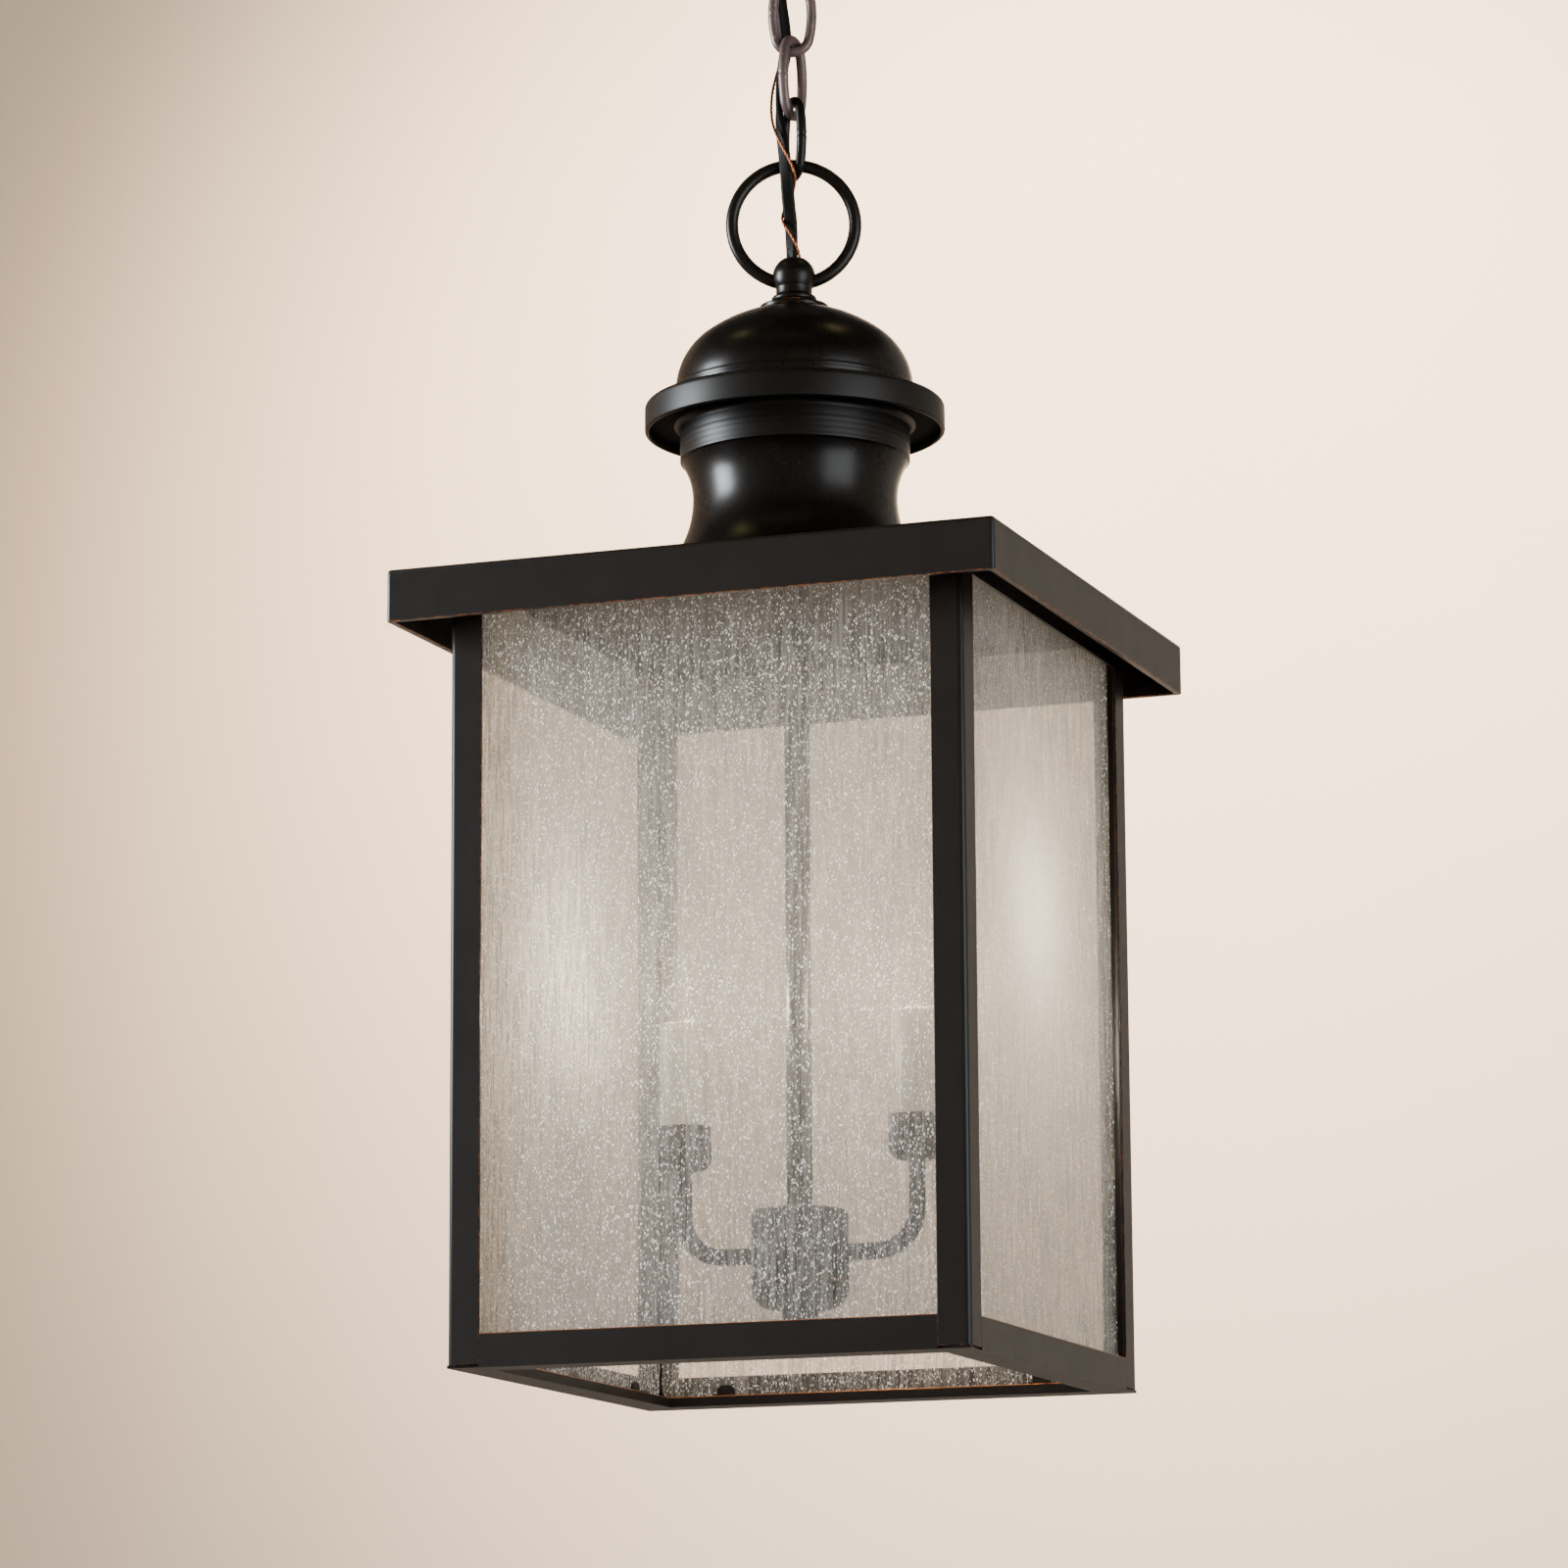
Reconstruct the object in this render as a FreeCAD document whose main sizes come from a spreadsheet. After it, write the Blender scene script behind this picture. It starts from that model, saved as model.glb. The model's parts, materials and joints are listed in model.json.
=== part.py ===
import FreeCAD, Part
import math
import os
import Sketcher

# Hanging lantern on a short chain, with its ceiling fitting.
# Millimetres, +Z up. The origin is the centre of the canopy's ceiling face, and everything hangs below it.
# The front pane faces -Y and the right pane faces +X.

Vector = FreeCAD.Vector
doc = FreeCAD.newDocument("HangingLantern")
sheet = doc.addObject("Spreadsheet::Sheet", "Sizes")

# Driving sizes
SIZES = [
    # Gauges and clearances shared by several pieces
    ("sheet_wall", 1.2, "folded sheet thickness of roof, posts and rails"),
    ("spun_wall", 1.0, "wall of the spun crown pieces and the canopy"),
    ("bend_radius", 2.0, "outer radius of a fold in the angle posts"),
    ("pipe_radius", 4.9, "outside of the threaded lamp pipe"),
    ("pipe_bore", 3.5, "inside of the threaded lamp pipe"),
    ("thread_gap", 0.1, "clearance between a pipe and what it passes through"),
    ("seat_gap", 0.05, "clearance of a piece let into its seat"),
    ("hook_gap", 0.3, "air between wires hooked square to each other"),
    ("middle_hook_gap", 0.8, "air where the middle link hangs, turned less than square"),
    ("lower_hook_gap", 1.6, "air where the lower link hangs, turned less still"),
    # Ceiling fitting
    ("canopy_radius", 63.5, "ceiling canopy"),
    ("canopy_height", 26, "ceiling face to the canopy's flat bottom"),
    ("canopy_lip", 4, "straight lip at the canopy's rim"),
    ("canopy_flat", 17, "radius of the canopy's flat bottom"),
    ("canopy_bulge", 62, "radius of the canopy's side in section"),
    ("crossbar_length", 106, "strap across the outlet box"),
    ("crossbar_width", 19, "strap across the outlet box"),
    ("crossbar_wall", 2.5, "strap across the outlet box"),
    ("slot_spacing", 79.4, "between the centres of the two screw slots"),
    ("slot_length", 14.6, "end to end, takes two usual box screw spacings"),
    ("slot_width", 5, "for the box screws"),
    ("nut_width", 14.3, "across the flats of a pipe locknut"),
    ("nut_height", 4, "pipe locknut"),
    # Loops: ball, knurled lock ring and wire ring
    ("ball_radius", 8.45, "ball of a loop"),
    ("ball_stand", 10.5, "seat of a loop to its ball's centre"),
    ("ball_neck", 7.1, "radius of the neck below the ball"),
    ("bead_radius", 1.3, "half height of the bead at the loop's foot"),
    ("foot_radius", 8.9, "outside of that bead"),
    ("cord_bore", 4.2, "radius of the hole the cords pass through"),
    ("socket_depth", 7, "how far the pipe enters a loop"),
    ("ring_seat", 2.5, "how far the wire ring's ends enter the ball"),
    ("lock_radius", 8.6, "knurled lock ring"),
    ("lock_height", 1.4, "knurled lock ring"),
    ("ring_radius", 24.3, "hanging ring, to the middle of its wire"),
    ("ring_wire", 5, "hanging ring's wire diameter"),
    ("ring_reach", 21.4, "ball centre to hanging ring centre"),
    ("ceiling_ring_radius", 14, "canopy loop's ring, to the middle of its wire"),
    ("ceiling_ring_wire", 4.5, "canopy loop's wire diameter"),
    ("ceiling_ring_reach", 11, "ball centre to canopy ring centre"),
    # Chain
    ("link_length", 35, "oval link, outside"),
    ("link_width", 19.3, "oval link, outside"),
    ("link_wire", 4, "oval link's wire diameter"),
    ("link_end", 6.6, "radius of a link's end, to the middle of its wire"),
    ("ring_turn", 20, "turn of the hanging ring's plane about the axis"),
    ("upper_link_turn", 20, "turn of the upper link's plane"),
    ("middle_link_turn", 81, "turn of the middle link's plane"),
    ("lower_link_turn", 136, "turn of the lower link's plane"),
    ("ceiling_ring_turn", 110, "turn of the canopy ring's plane"),
    # Crown
    ("cap_radius", 13.7, "washer on top of the dome"),
    ("cap_height", 2, "washer on top of the dome"),
    ("dome_radius", 46.6, "dome at its springing"),
    ("dome_rise", 33.5, "springing to the dome's untrimmed top"),
    ("dome_shoulder", 27, "radius of the dome's shoulder in section"),
    ("dome_flat", 12.6, "radius of the flat that carries the washer"),
    ("band_height", 5.6, "straight band under the dome"),
    ("band_step", 0.5, "how far the band stands proud"),
    ("brim_radius", 58.8, "brim under the dome"),
    ("rim_height", 11.5, "turned-down rim of the brim"),
    ("rim_wall", 1.6, "thickness of the rim"),
    ("rim_round", 2.5, "rounded shoulder of the rim"),
    ("brim_recess", 2.5, "rim's lower edge to the plate inside it"),
    ("neck_height", 73, "roof to the brim's plate"),
    ("neck_foot", 57, "radius of the neck's foot"),
    ("neck_foot_height", 12, "neck's foot, below its flare"),
    ("neck_foot_round", 3, "rounded top of the neck's foot"),
    ("neck_waist", 40, "narrowest radius of the neck"),
    ("waist_height", 43.7, "roof to the neck's waist"),
    ("collar_radius", 45, "collar at the top of the neck"),
    ("collar_foot", 58.5, "roof to the collar's lower edge"),
    ("collar_ledge", 0.6, "ledge under the collar"),
    ("collar_cove", 2.5, "cove between collar and plate"),
    # Roof and glazed frame
    ("roof_side", 241, "square roof"),
    ("roof_skirt", 20.2, "height of the roof's skirt"),
    ("roof_corner", 1.6, "radius of the roof's corners and top fold"),
    ("hem_height", 5, "skirt's edge folded back inside"),
    ("roof_overhang", 18.5, "roof past the frame on each side"),
    ("body_height", 300.4, "roof top to the frame's lower edge"),
    ("angle_leg", 12.7, "leg of the angle posts and rails"),
    ("rail_flange", 14, "bottom rail, from the outside to its inner wall"),
    ("rail_lip", 4, "height of the bottom rail's inner wall and shelf"),
    ("shelf_gap", 0.5, "between the bottom rail's shelf and its leg"),
    ("glass_inset", 3.5, "between the frame's sheet and the pane"),
    ("glass_wall", 3, "seeded glass pane"),
    ("glass_gap", 0.5, "between neighbouring panes at a corner"),
    ("glass_top_gap", 1, "pane's upper edge to the top rail"),
    ("glass_corner", 4, "rounded lower corners of a pane"),
    ("tab_width", 7.5, "tab that holds a pane"),
    ("tab_height", 4.5, "tab that holds a pane"),
    ("tab_round", 2.5, "round of a tab's upper corners"),
    ("tab_wall", 0.8, "tab that holds a pane"),
    ("tab_foot", 5, "foot of a tab on the rail"),
    ("tab_inset", 66, "middle of a pane to a tab"),
    # Candle cluster
    ("coupling_radius", 7.5, "pipe coupling under the roof"),
    ("coupling_length", 20, "pipe coupling under the roof"),
    ("stem_gap", 1, "between the two pipes in the coupling"),
    ("hub_drop", 235, "roof top to the hub's top"),
    ("hub_radius", 18.7, "hub of the candle cluster"),
    ("hub_height", 30, "hub of the candle cluster"),
    ("hub_round", 3, "rounded upper edge of the hub"),
    ("cover_height", 8, "dished cover under the hub"),
    ("cover_flat", 11, "radius of the cover's flat bottom"),
    ("finial_radius", 7, "knob that holds the cover"),
    ("finial_height", 9, "knob that holds the cover"),
    ("finial_band", 4, "straight band of the knob"),
    ("finial_tip", 3, "radius of the knob's flat end"),
    ("finial_socket", 5, "how far the stem enters the knob"),
    ("arm_turn", 0, "turn of the first arm about the axis"),
    ("arm_reach", 47.4, "axis to a candle's axis"),
    ("arm_radius", 3.2, "arm tube, outside"),
    ("arm_bore", 2.2, "arm tube, inside"),
    ("arm_bend", 16, "bend of an arm, to the middle of the tube"),
    ("arm_drop", 17, "hub's top to an arm's middle"),
    ("arm_rise", 34, "an arm's level run to its cup"),
    ("arm_entry", 1, "how far an arm's end stands inside the hub's wall"),
    ("cup_radius", 10.6, "candle cup"),
    ("cup_height", 17, "candle cup"),
    ("cup_floor", 5, "solid base of a candle cup"),
    ("sleeve_radius", 9.4, "candle sleeve, outside"),
    ("sleeve_wall", 1, "candle sleeve"),
    ("sleeve_height", 52, "candle sleeve"),
    ("candle_gap", 0.2, "between cup and sleeve, and between sleeve and socket"),
    ("socket_top", 3, "sleeve's top to the lamp socket's top"),
    ("bulb_thread", 5.95, "radius of a candelabra screw base"),
    ("bulb_base", 17, "height of the screw base"),
    ("bulb_radius", 17.5, "bulb at its widest"),
    ("bulb_height", 74, "bulb's glass"),
    ("bulb_middle", 31, "bulb's foot to its widest"),
    ("bulb_foot", 3, "straight foot of the bulb's glass"),
    ("bulb_tip", 2, "radius of the bulb's blunt tip"),
    ("bulb_wall", 0.8, "bulb's glass"),
    # Cords
    ("cable_diameter", 4, "round tube of the twin supply cable"),
    ("ground_diameter", 1.2, "bare stranded ground wire"),
]


def number(value):
    """The plain number of a size."""
    return value.value if isinstance(value, Size) else value


def formula(value):
    """The formula of a size, as the document keeps it."""
    return value.text if isinstance(value, Size) else repr(value)


class Size:
    """A number together with the formula that ties it to the sheet."""

    def __init__(self, value, text):
        self.value = value
        self.text = text

    def __add__(self, other):
        return Size(self.value + number(other), f"({self.text} + {formula(other)})")

    def __radd__(self, other):
        return Size(other + self.value, f"({formula(other)} + {self.text})")

    def __sub__(self, other):
        return Size(self.value - number(other), f"({self.text} - {formula(other)})")

    def __rsub__(self, other):
        return Size(other - self.value, f"({formula(other)} - {self.text})")

    def __mul__(self, other):
        return Size(self.value * number(other), f"({self.text} * {formula(other)})")

    __rmul__ = __mul__

    def __truediv__(self, other):
        return Size(self.value / number(other), f"({self.text} / {formula(other)})")

    def __neg__(self):
        return Size(-self.value, f"(-1 * {self.text})")


def root(size):
    return Size(math.sqrt(size.value), f"sqrt({size.text})")


def cosine(size):
    return Size(math.cos(math.radians(size.value)), f"cos({size.text})")


def sine(size):
    return Size(math.sin(math.radians(size.value)), f"sin({size.text})")


def arc_cosine(size):
    """Angle in degrees whose cosine is given."""
    return Size(math.degrees(math.acos(size.value)), f"(acos({size.text}) / 1 deg)")


class Sheet:
    """Each driving size by its name, as a Size."""

    def __init__(self, rows):
        for line, (alias, value, words) in enumerate(rows, start=1):
            sheet.set(f"A{line}", words)
            sheet.set(f"B{line}", str(value))
            sheet.setAlias(f"B{line}", alias)
        doc.recompute()
        for alias, value, words in rows:
            setattr(self, alias, Size(float(sheet.get(alias)), f"Sizes.{alias}"))


s = Sheet(SIZES)
SIDES = ("front", "right", "back", "left")
CORNERS = ("back_right", "back_left", "front_left", "front_right")
ARMS = ("right", "left")
SECTIONS = ("lantern", "lower", "upper", "canopy")
pieces = []


def new_body(label):
    """Body of one piece. Its label names its file."""
    body = doc.addObject("PartDesign::Body", label)
    body.Label = label
    pieces.append(body)
    return body


def place(piece, z=0, x=0, y=0, turn=0, upside_down=False):
    """Put a piece at its place, turned about the vertical and, where asked, turned over."""
    spin_round = FreeCAD.Rotation(Vector(0, 0, 1), number(turn))
    if upside_down:
        spin_round = spin_round * FreeCAD.Rotation(Vector(1, 0, 0), 180)
    piece.Placement = FreeCAD.Placement(Vector(number(x), number(y), number(z)), spin_round)
    for axis, value in zip("xyz", (x, y, z)):
        if isinstance(value, Size):
            piece.setExpression(f"Placement.Base.{axis}", value.text)
    if isinstance(turn, Size) and not upside_down:
        piece.setExpression("Placement.Rotation.Angle", turn.text)


def new_sketch(body, plane, lift=0):
    """Sketch on one of the body's own planes, lifted off it along its normal."""
    sketch = body.newObject("Sketcher::SketchObject", body.Name + "_sketch")
    support = next(item for item in body.Origin.OriginFeatures if item.Role == plane)
    sketch.AttachmentSupport = [(support, "")]
    sketch.MapMode = "FlatFace"
    sketch.AttachmentOffset = FreeCAD.Placement(Vector(0, 0, number(lift)), FreeCAD.Rotation())
    if isinstance(lift, Size):
        sketch.setExpression("AttachmentOffset.Base.z", lift.text)
    return sketch


def bind(sketch, constraint, value):
    """Add a dimension and tie it to the sheet."""
    index = sketch.addConstraint(constraint)
    if isinstance(value, Size):
        sketch.setExpression(f"Constraints[{index}]", value.text)


def pin_point(sketch, edge, end, x, y):
    """Fix one end of an edge by its distances from the sketch's origin."""
    for kind, value, axis in (("DistanceX", x, -2), ("DistanceY", y, -1)):
        if number(value) == 0:
            sketch.addConstraint(Sketcher.Constraint("PointOnObject", edge, end, axis))
        elif number(value) > 0:
            bind(sketch, Sketcher.Constraint(kind, -1, 1, edge, end, number(value)), value)
        else:
            bind(sketch, Sketcher.Constraint(kind, edge, end, -1, 1, -number(value)), -value)


def arc_between(a, b, radius, side):
    """Arc of less than half a turn from a to b. Side 1 turns left on the way, -1 turns right."""
    chord = b - a
    half = chord.Length / 2
    left = Vector(-chord.y, chord.x, 0).normalize()
    centre = (a + b) / 2 + left * (side * math.sqrt(radius * radius - half * half))
    first, last = (a, b) if side > 0 else (b, a)
    start = math.atan2(first.y - centre.y, first.x - centre.x)
    stop = math.atan2(last.y - centre.y, last.x - centre.x)
    return Part.ArcOfCircle(Part.Circle(centre, Vector(0, 0, 1), radius), start, stop)


def outline(body, plane, corners, closed=True, lift=0):
    """Sketch of lines and arcs. Each corner is (x, y), or (x, y, radius, side) where an arc ends."""
    sketch = new_sketch(body, plane, lift)
    points = [Vector(number(corner[0]), number(corner[1]), 0) for corner in corners]
    ends = []
    for index in range(0 if closed else 1, len(corners)):
        corner = corners[index]
        if len(corner) == 2:
            edge = sketch.addGeometry(Part.LineSegment(points[index - 1], points[index]))
            ends.append((edge, 1, 2))
            continue
        radius, side = corner[2:]
        edge = sketch.addGeometry(arc_between(points[index - 1], points[index], number(radius), side))
        ends.append((edge, 1, 2) if side > 0 else (edge, 2, 1))
        bind(sketch, Sketcher.Constraint("Radius", edge, number(radius)), radius)
    for index, (edge, first, last) in enumerate(ends):
        corner = corners[index if closed else index + 1]
        if closed or index + 1 < len(ends):
            follower, start, stop = ends[(index + 1) % len(ends)]
            sketch.addConstraint(Sketcher.Constraint("Coincident", edge, last, follower, start))
        pin_point(sketch, edge, last, corner[0], corner[1])
    if not closed:
        edge, first, last = ends[0]
        pin_point(sketch, edge, first, corners[0][0], corners[0][1])
    return sketch


def circles(body, plane, rounds, lift=0):
    """Sketch of circles, each given as (x, y, radius)."""
    sketch = new_sketch(body, plane, lift)
    for x, y, radius in rounds:
        centre = Vector(number(x), number(y), 0)
        edge = sketch.addGeometry(Part.Circle(centre, Vector(0, 0, 1), number(radius)))
        pin_point(sketch, edge, 3, x, y)
        bind(sketch, Sketcher.Constraint("Radius", edge, number(radius)), radius)
    return sketch


def feature(body, kind, **values):
    """Add a feature to a body. Sizes are tied to the sheet."""
    item = body.newObject("PartDesign::" + kind, f"{body.Name}_{kind.lower()}")
    for name, value in values.items():
        if isinstance(value, Size):
            setattr(item, name, value.value)
            item.setExpression(name, value.text)
        else:
            setattr(item, name, value)
    return item


def spin(body, corners):
    """Turned piece: an outline in the XZ plane, turned about Z."""
    sketch = outline(body, "XZ_Plane", corners)
    return feature(body, "Revolution", Profile=sketch, ReferenceAxis=(sketch, ["V_Axis"]), Angle=360)


def pad(body, sketch, length, **values):
    return feature(body, "Pad", Profile=sketch, Length=length, **values)


def cut_through(body, sketch):
    """Cut the sketch out of the whole body, both ways."""
    return feature(body, "Pocket", Profile=sketch, Type="ThroughAll", SideType="Symmetric")


def polar(body, items, count):
    """Repeat features round the vertical axis."""
    axis = next(thing for thing in body.Origin.OriginFeatures if thing.Role == "Z_Axis")
    pattern = feature(body, "PolarPattern", Originals=items, Axis=(axis, [""]), Angle=360, Occurrences=count)
    body.Tip = pattern


def rounded_square(half, radius):
    """Corners of a square with rounded corners, counterclockwise."""
    near = half - radius
    corners = []
    for x, y in ((1, -1), (1, 1), (-1, 1), (-1, -1)):
        before = (half * x, near * y) if x * y > 0 else (near * x, half * y)
        after = (near * x, half * y) if x * y > 0 else (half * x, near * y)
        corners.append(before)
        corners.append((after[0], after[1], radius, 1))
    return corners


def tangent_radius(step_out, step_up):
    """Radius of an arc that starts upright and ends step_out to the side and step_up along."""
    return (step_out * step_out + step_up * step_up) / (2 * step_out)


# Heights, from the ceiling down
canopy_bottom = -s.canopy_height
ceiling_seat = canopy_bottom - s.lock_height
ceiling_ball_z = ceiling_seat - s.ball_stand
ceiling_ring_z = ceiling_ball_z - s.ceiling_ring_reach
ceiling_wire_z = ceiling_ring_z - s.ceiling_ring_radius
link_half = (s.link_length - s.link_wire) / 2
link_step = 2 * link_half - s.link_wire
upper_link_z = ceiling_wire_z + (s.ceiling_ring_wire + s.link_wire) / 2 + s.hook_gap - link_half
middle_link_z = upper_link_z - link_step + s.middle_hook_gap
lower_link_z = middle_link_z - link_step + s.lower_hook_gap
ring_top_z = lower_link_z - link_half + (s.ring_wire + s.link_wire) / 2 + s.hook_gap
ring_z = ring_top_z - s.ring_radius
ball_z = ring_z - s.ring_reach
loop_seat = ball_z - s.ball_stand
cap_top = loop_seat - s.lock_height
dome_top = cap_top - s.cap_height
crown_radius_top = (s.dome_radius - s.dome_shoulder) * (s.dome_radius - s.dome_shoulder)
crown_arc = (crown_radius_top + s.dome_rise * s.dome_rise - s.dome_shoulder * s.dome_shoulder) / (
    2 * (s.dome_rise - s.dome_shoulder))
crown_centre = s.dome_rise - crown_arc
dome_flat_rise = crown_centre + root(crown_arc * crown_arc - s.dome_flat * s.dome_flat)
brim_top = dome_top - dome_flat_rise - s.band_height
rim_bottom = brim_top - s.rim_height
neck_top = rim_bottom + s.brim_recess
roof_top = neck_top - s.neck_height
roof_underside = roof_top - s.sheet_wall
frame_bottom = roof_top - s.body_height
hub_top = roof_top - s.hub_drop
hub_bottom = hub_top - s.hub_height
arm_z = hub_top - s.arm_drop
cup_z = arm_z + s.arm_rise
sleeve_z = cup_z + s.cup_floor
bulb_z = sleeve_z + s.sleeve_height

body_half = s.roof_side / 2 - s.roof_overhang
pane_face = body_half - s.sheet_wall - s.glass_inset - s.glass_wall
finial_z = hub_bottom - s.cover_height
pipe_hole = s.pipe_radius + s.thread_gap
sleeve_hole = s.sleeve_radius + s.candle_gap
arm_start = s.hub_radius - s.spun_wall - s.arm_entry


# Ceiling fitting
def make_canopy(label):
    """Shallow spun dish against the ceiling."""
    body = new_body(label)
    inside = s.canopy_radius - s.spun_wall
    floor = s.spun_wall - s.canopy_height
    spin(body, [
        (s.canopy_radius, 0),
        (inside, 0),
        (inside, -s.canopy_lip),
        (s.canopy_flat, floor, s.canopy_bulge, -1),
        (pipe_hole, floor),
        (pipe_hole, -s.canopy_height),
        (s.canopy_flat, -s.canopy_height),
        (s.canopy_radius, -s.canopy_lip, s.canopy_bulge, 1),
    ])


def make_crossbar(label):
    """Strap across the outlet box, with two screw slots and a tapped centre."""
    body = new_body(label)
    half_length = s.crossbar_length / 2
    half_width = s.crossbar_width / 2
    bar = outline(body, "XY_Plane", [
        (half_width - half_length, -half_width, half_width, 1),
        (half_length - half_width, -half_width),
        (half_length, 0, half_width, 1),
        (half_length - half_width, half_width, half_width, 1),
        (half_width - half_length, half_width),
        (-half_length, 0, half_width, 1),
    ])
    pad(body, bar, s.crossbar_wall, Reversed=True)
    slot_half = (s.slot_length - s.slot_width) / 2
    slot_round = s.slot_width / 2
    for side in (-1, 1):
        middle = s.slot_spacing / 2 * side
        slot = outline(body, "XY_Plane", [
            (middle - slot_half, -slot_round, slot_round, 1),
            (middle + slot_half, -slot_round),
            (middle + slot_half + slot_round, 0, slot_round, 1),
            (middle + slot_half, slot_round, slot_round, 1),
            (middle - slot_half, slot_round),
            (middle - slot_half - slot_round, 0, slot_round, 1),
        ])
        cut_through(body, slot)
    cut_through(body, circles(body, "XY_Plane", [(0, 0, pipe_hole)]))


def make_pipe(label, top, bottom):
    """Threaded lamp pipe, drawn as a plain tube."""
    body = new_body(label)
    pad(body, circles(body, "XY_Plane", [(0, 0, s.pipe_radius), (0, 0, s.pipe_bore)]), top - bottom)
    place(body, bottom)


def make_locknut(label, bottom):
    """Hexagon nut on the lamp pipe."""
    body = new_body(label)
    across = s.nut_width / math.sqrt(3)
    turns = [math.radians(60 * side) for side in range(6)]
    hexagon = [(across * round(math.cos(turn), 9), across * round(math.sin(turn), 9)) for turn in turns]
    pad(body, outline(body, "XY_Plane", hexagon), s.nut_height)
    cut_through(body, circles(body, "XY_Plane", [(0, 0, pipe_hole)]))
    place(body, bottom)


def make_collar(label, radius, height, bottom):
    """Plain ring on the lamp pipe."""
    body = new_body(label)
    pad(body, circles(body, "XY_Plane", [(0, 0, radius), (0, 0, pipe_hole)]), height)
    place(body, bottom)


# Loops
def open_angle(ring_radius, ring_reach):
    """Angle that a wire ring spans from one end in its ball to the other."""
    inside = s.ball_radius - s.ring_seat
    squares = ring_radius * ring_radius + ring_reach * ring_reach - inside * inside
    return 360 - 2 * arc_cosine(squares / (2 * ring_radius * ring_reach))


def make_ball(label, ring_radius, ring_wire, ring_reach, seat, turn, upside_down=False):
    """Ball with a beaded foot, bored for the cords, with a blind seat each side for the wire ring."""
    body = new_body(label)
    bead_top = 2 * s.bead_radius
    bead_side = s.foot_radius - s.bead_radius
    neck_end = s.ball_stand - root(s.ball_radius * s.ball_radius - s.ball_neck * s.ball_neck)
    mouth = s.ball_stand + root(s.ball_radius * s.ball_radius - s.cord_bore * s.cord_bore)
    spin(body, [
        (pipe_hole, 0),
        (bead_side, 0),
        (s.foot_radius, s.bead_radius, s.bead_radius, 1),
        (bead_side, bead_top, s.bead_radius, 1),
        (s.ball_neck, bead_top),
        (s.ball_neck, neck_end),
        (s.ball_radius, s.ball_stand, s.ball_radius, 1),
        (s.cord_bore, mouth, s.ball_radius, 1),
        (s.cord_bore, s.socket_depth),
        (pipe_hole, s.socket_depth),
    ])
    ring_height = s.ball_stand + ring_reach
    seats = circles(body, "YZ_Plane", [(0, ring_height + ring_radius, ring_wire / 2 + s.seat_gap)])
    half_axis = number(s.ball_radius)
    ends = Vector(-half_axis, number(ring_height), 0), Vector(half_axis, number(ring_height), 0)
    axis = seats.addGeometry(Part.LineSegment(*ends), True)
    pin_point(seats, axis, 1, -s.ball_radius, ring_height)
    pin_point(seats, axis, 2, s.ball_radius, ring_height)
    span = open_angle(ring_radius, ring_reach)
    feature(body, "Groove", Profile=seats, ReferenceAxis=(seats, ["Axis0"]), Midplane=True, Angle=span)
    place(body, seat, turn=turn, upside_down=upside_down)


def make_ring(label, ring_radius, ring_wire, ring_reach, height, turn, upside_down=False):
    """Wire ring, open at the bottom where its ends sit in the ball."""
    body = new_body(label)
    wire = circles(body, "YZ_Plane", [(0, ring_radius, ring_wire / 2)])
    span = open_angle(ring_radius, ring_reach)
    feature(body, "Revolution", Profile=wire, ReferenceAxis=(wire, ["H_Axis"]), Midplane=True, Angle=span)
    place(body, height, turn=turn, upside_down=upside_down)


# Chain
def make_link(label, height, turn):
    """Oval link of round wire: two end arcs and two wide side arcs, tangent to one another."""
    body = new_body(label)
    half_width = (s.link_width - s.link_wire) / 2
    end_centre = link_half - s.link_end
    side_radius = (half_width * half_width + end_centre * end_centre - s.link_end * s.link_end) / (
        2 * (half_width - s.link_end))
    reach = side_radius - s.link_end
    tangent_x = s.link_end * (side_radius - half_width) / reach
    tangent_z = end_centre + s.link_end * end_centre / reach
    path = outline(body, "XZ_Plane", [
        (half_width, 0, side_radius, 1),
        (tangent_x, tangent_z, side_radius, 1),
        (-tangent_x, tangent_z, s.link_end, 1),
        (-tangent_x, -tangent_z, side_radius, 1),
        (tangent_x, -tangent_z, s.link_end, 1),
    ])
    wire = circles(body, "XY_Plane", [(half_width, 0, s.link_wire / 2)])
    feature(body, "AdditivePipe", Profile=wire, Spine=path)
    place(body, height, turn=turn)


# Crown
def make_washer(label):
    """Washer with an eased upper edge."""
    body = new_body(label)
    ease = s.cap_height / 3
    spin(body, [
        (pipe_hole, 0),
        (s.cap_radius, 0),
        (s.cap_radius, s.cap_height - ease),
        (s.cap_radius - ease, s.cap_height, ease, 1),
        (pipe_hole, s.cap_height),
    ])
    place(body, dome_top)


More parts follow.
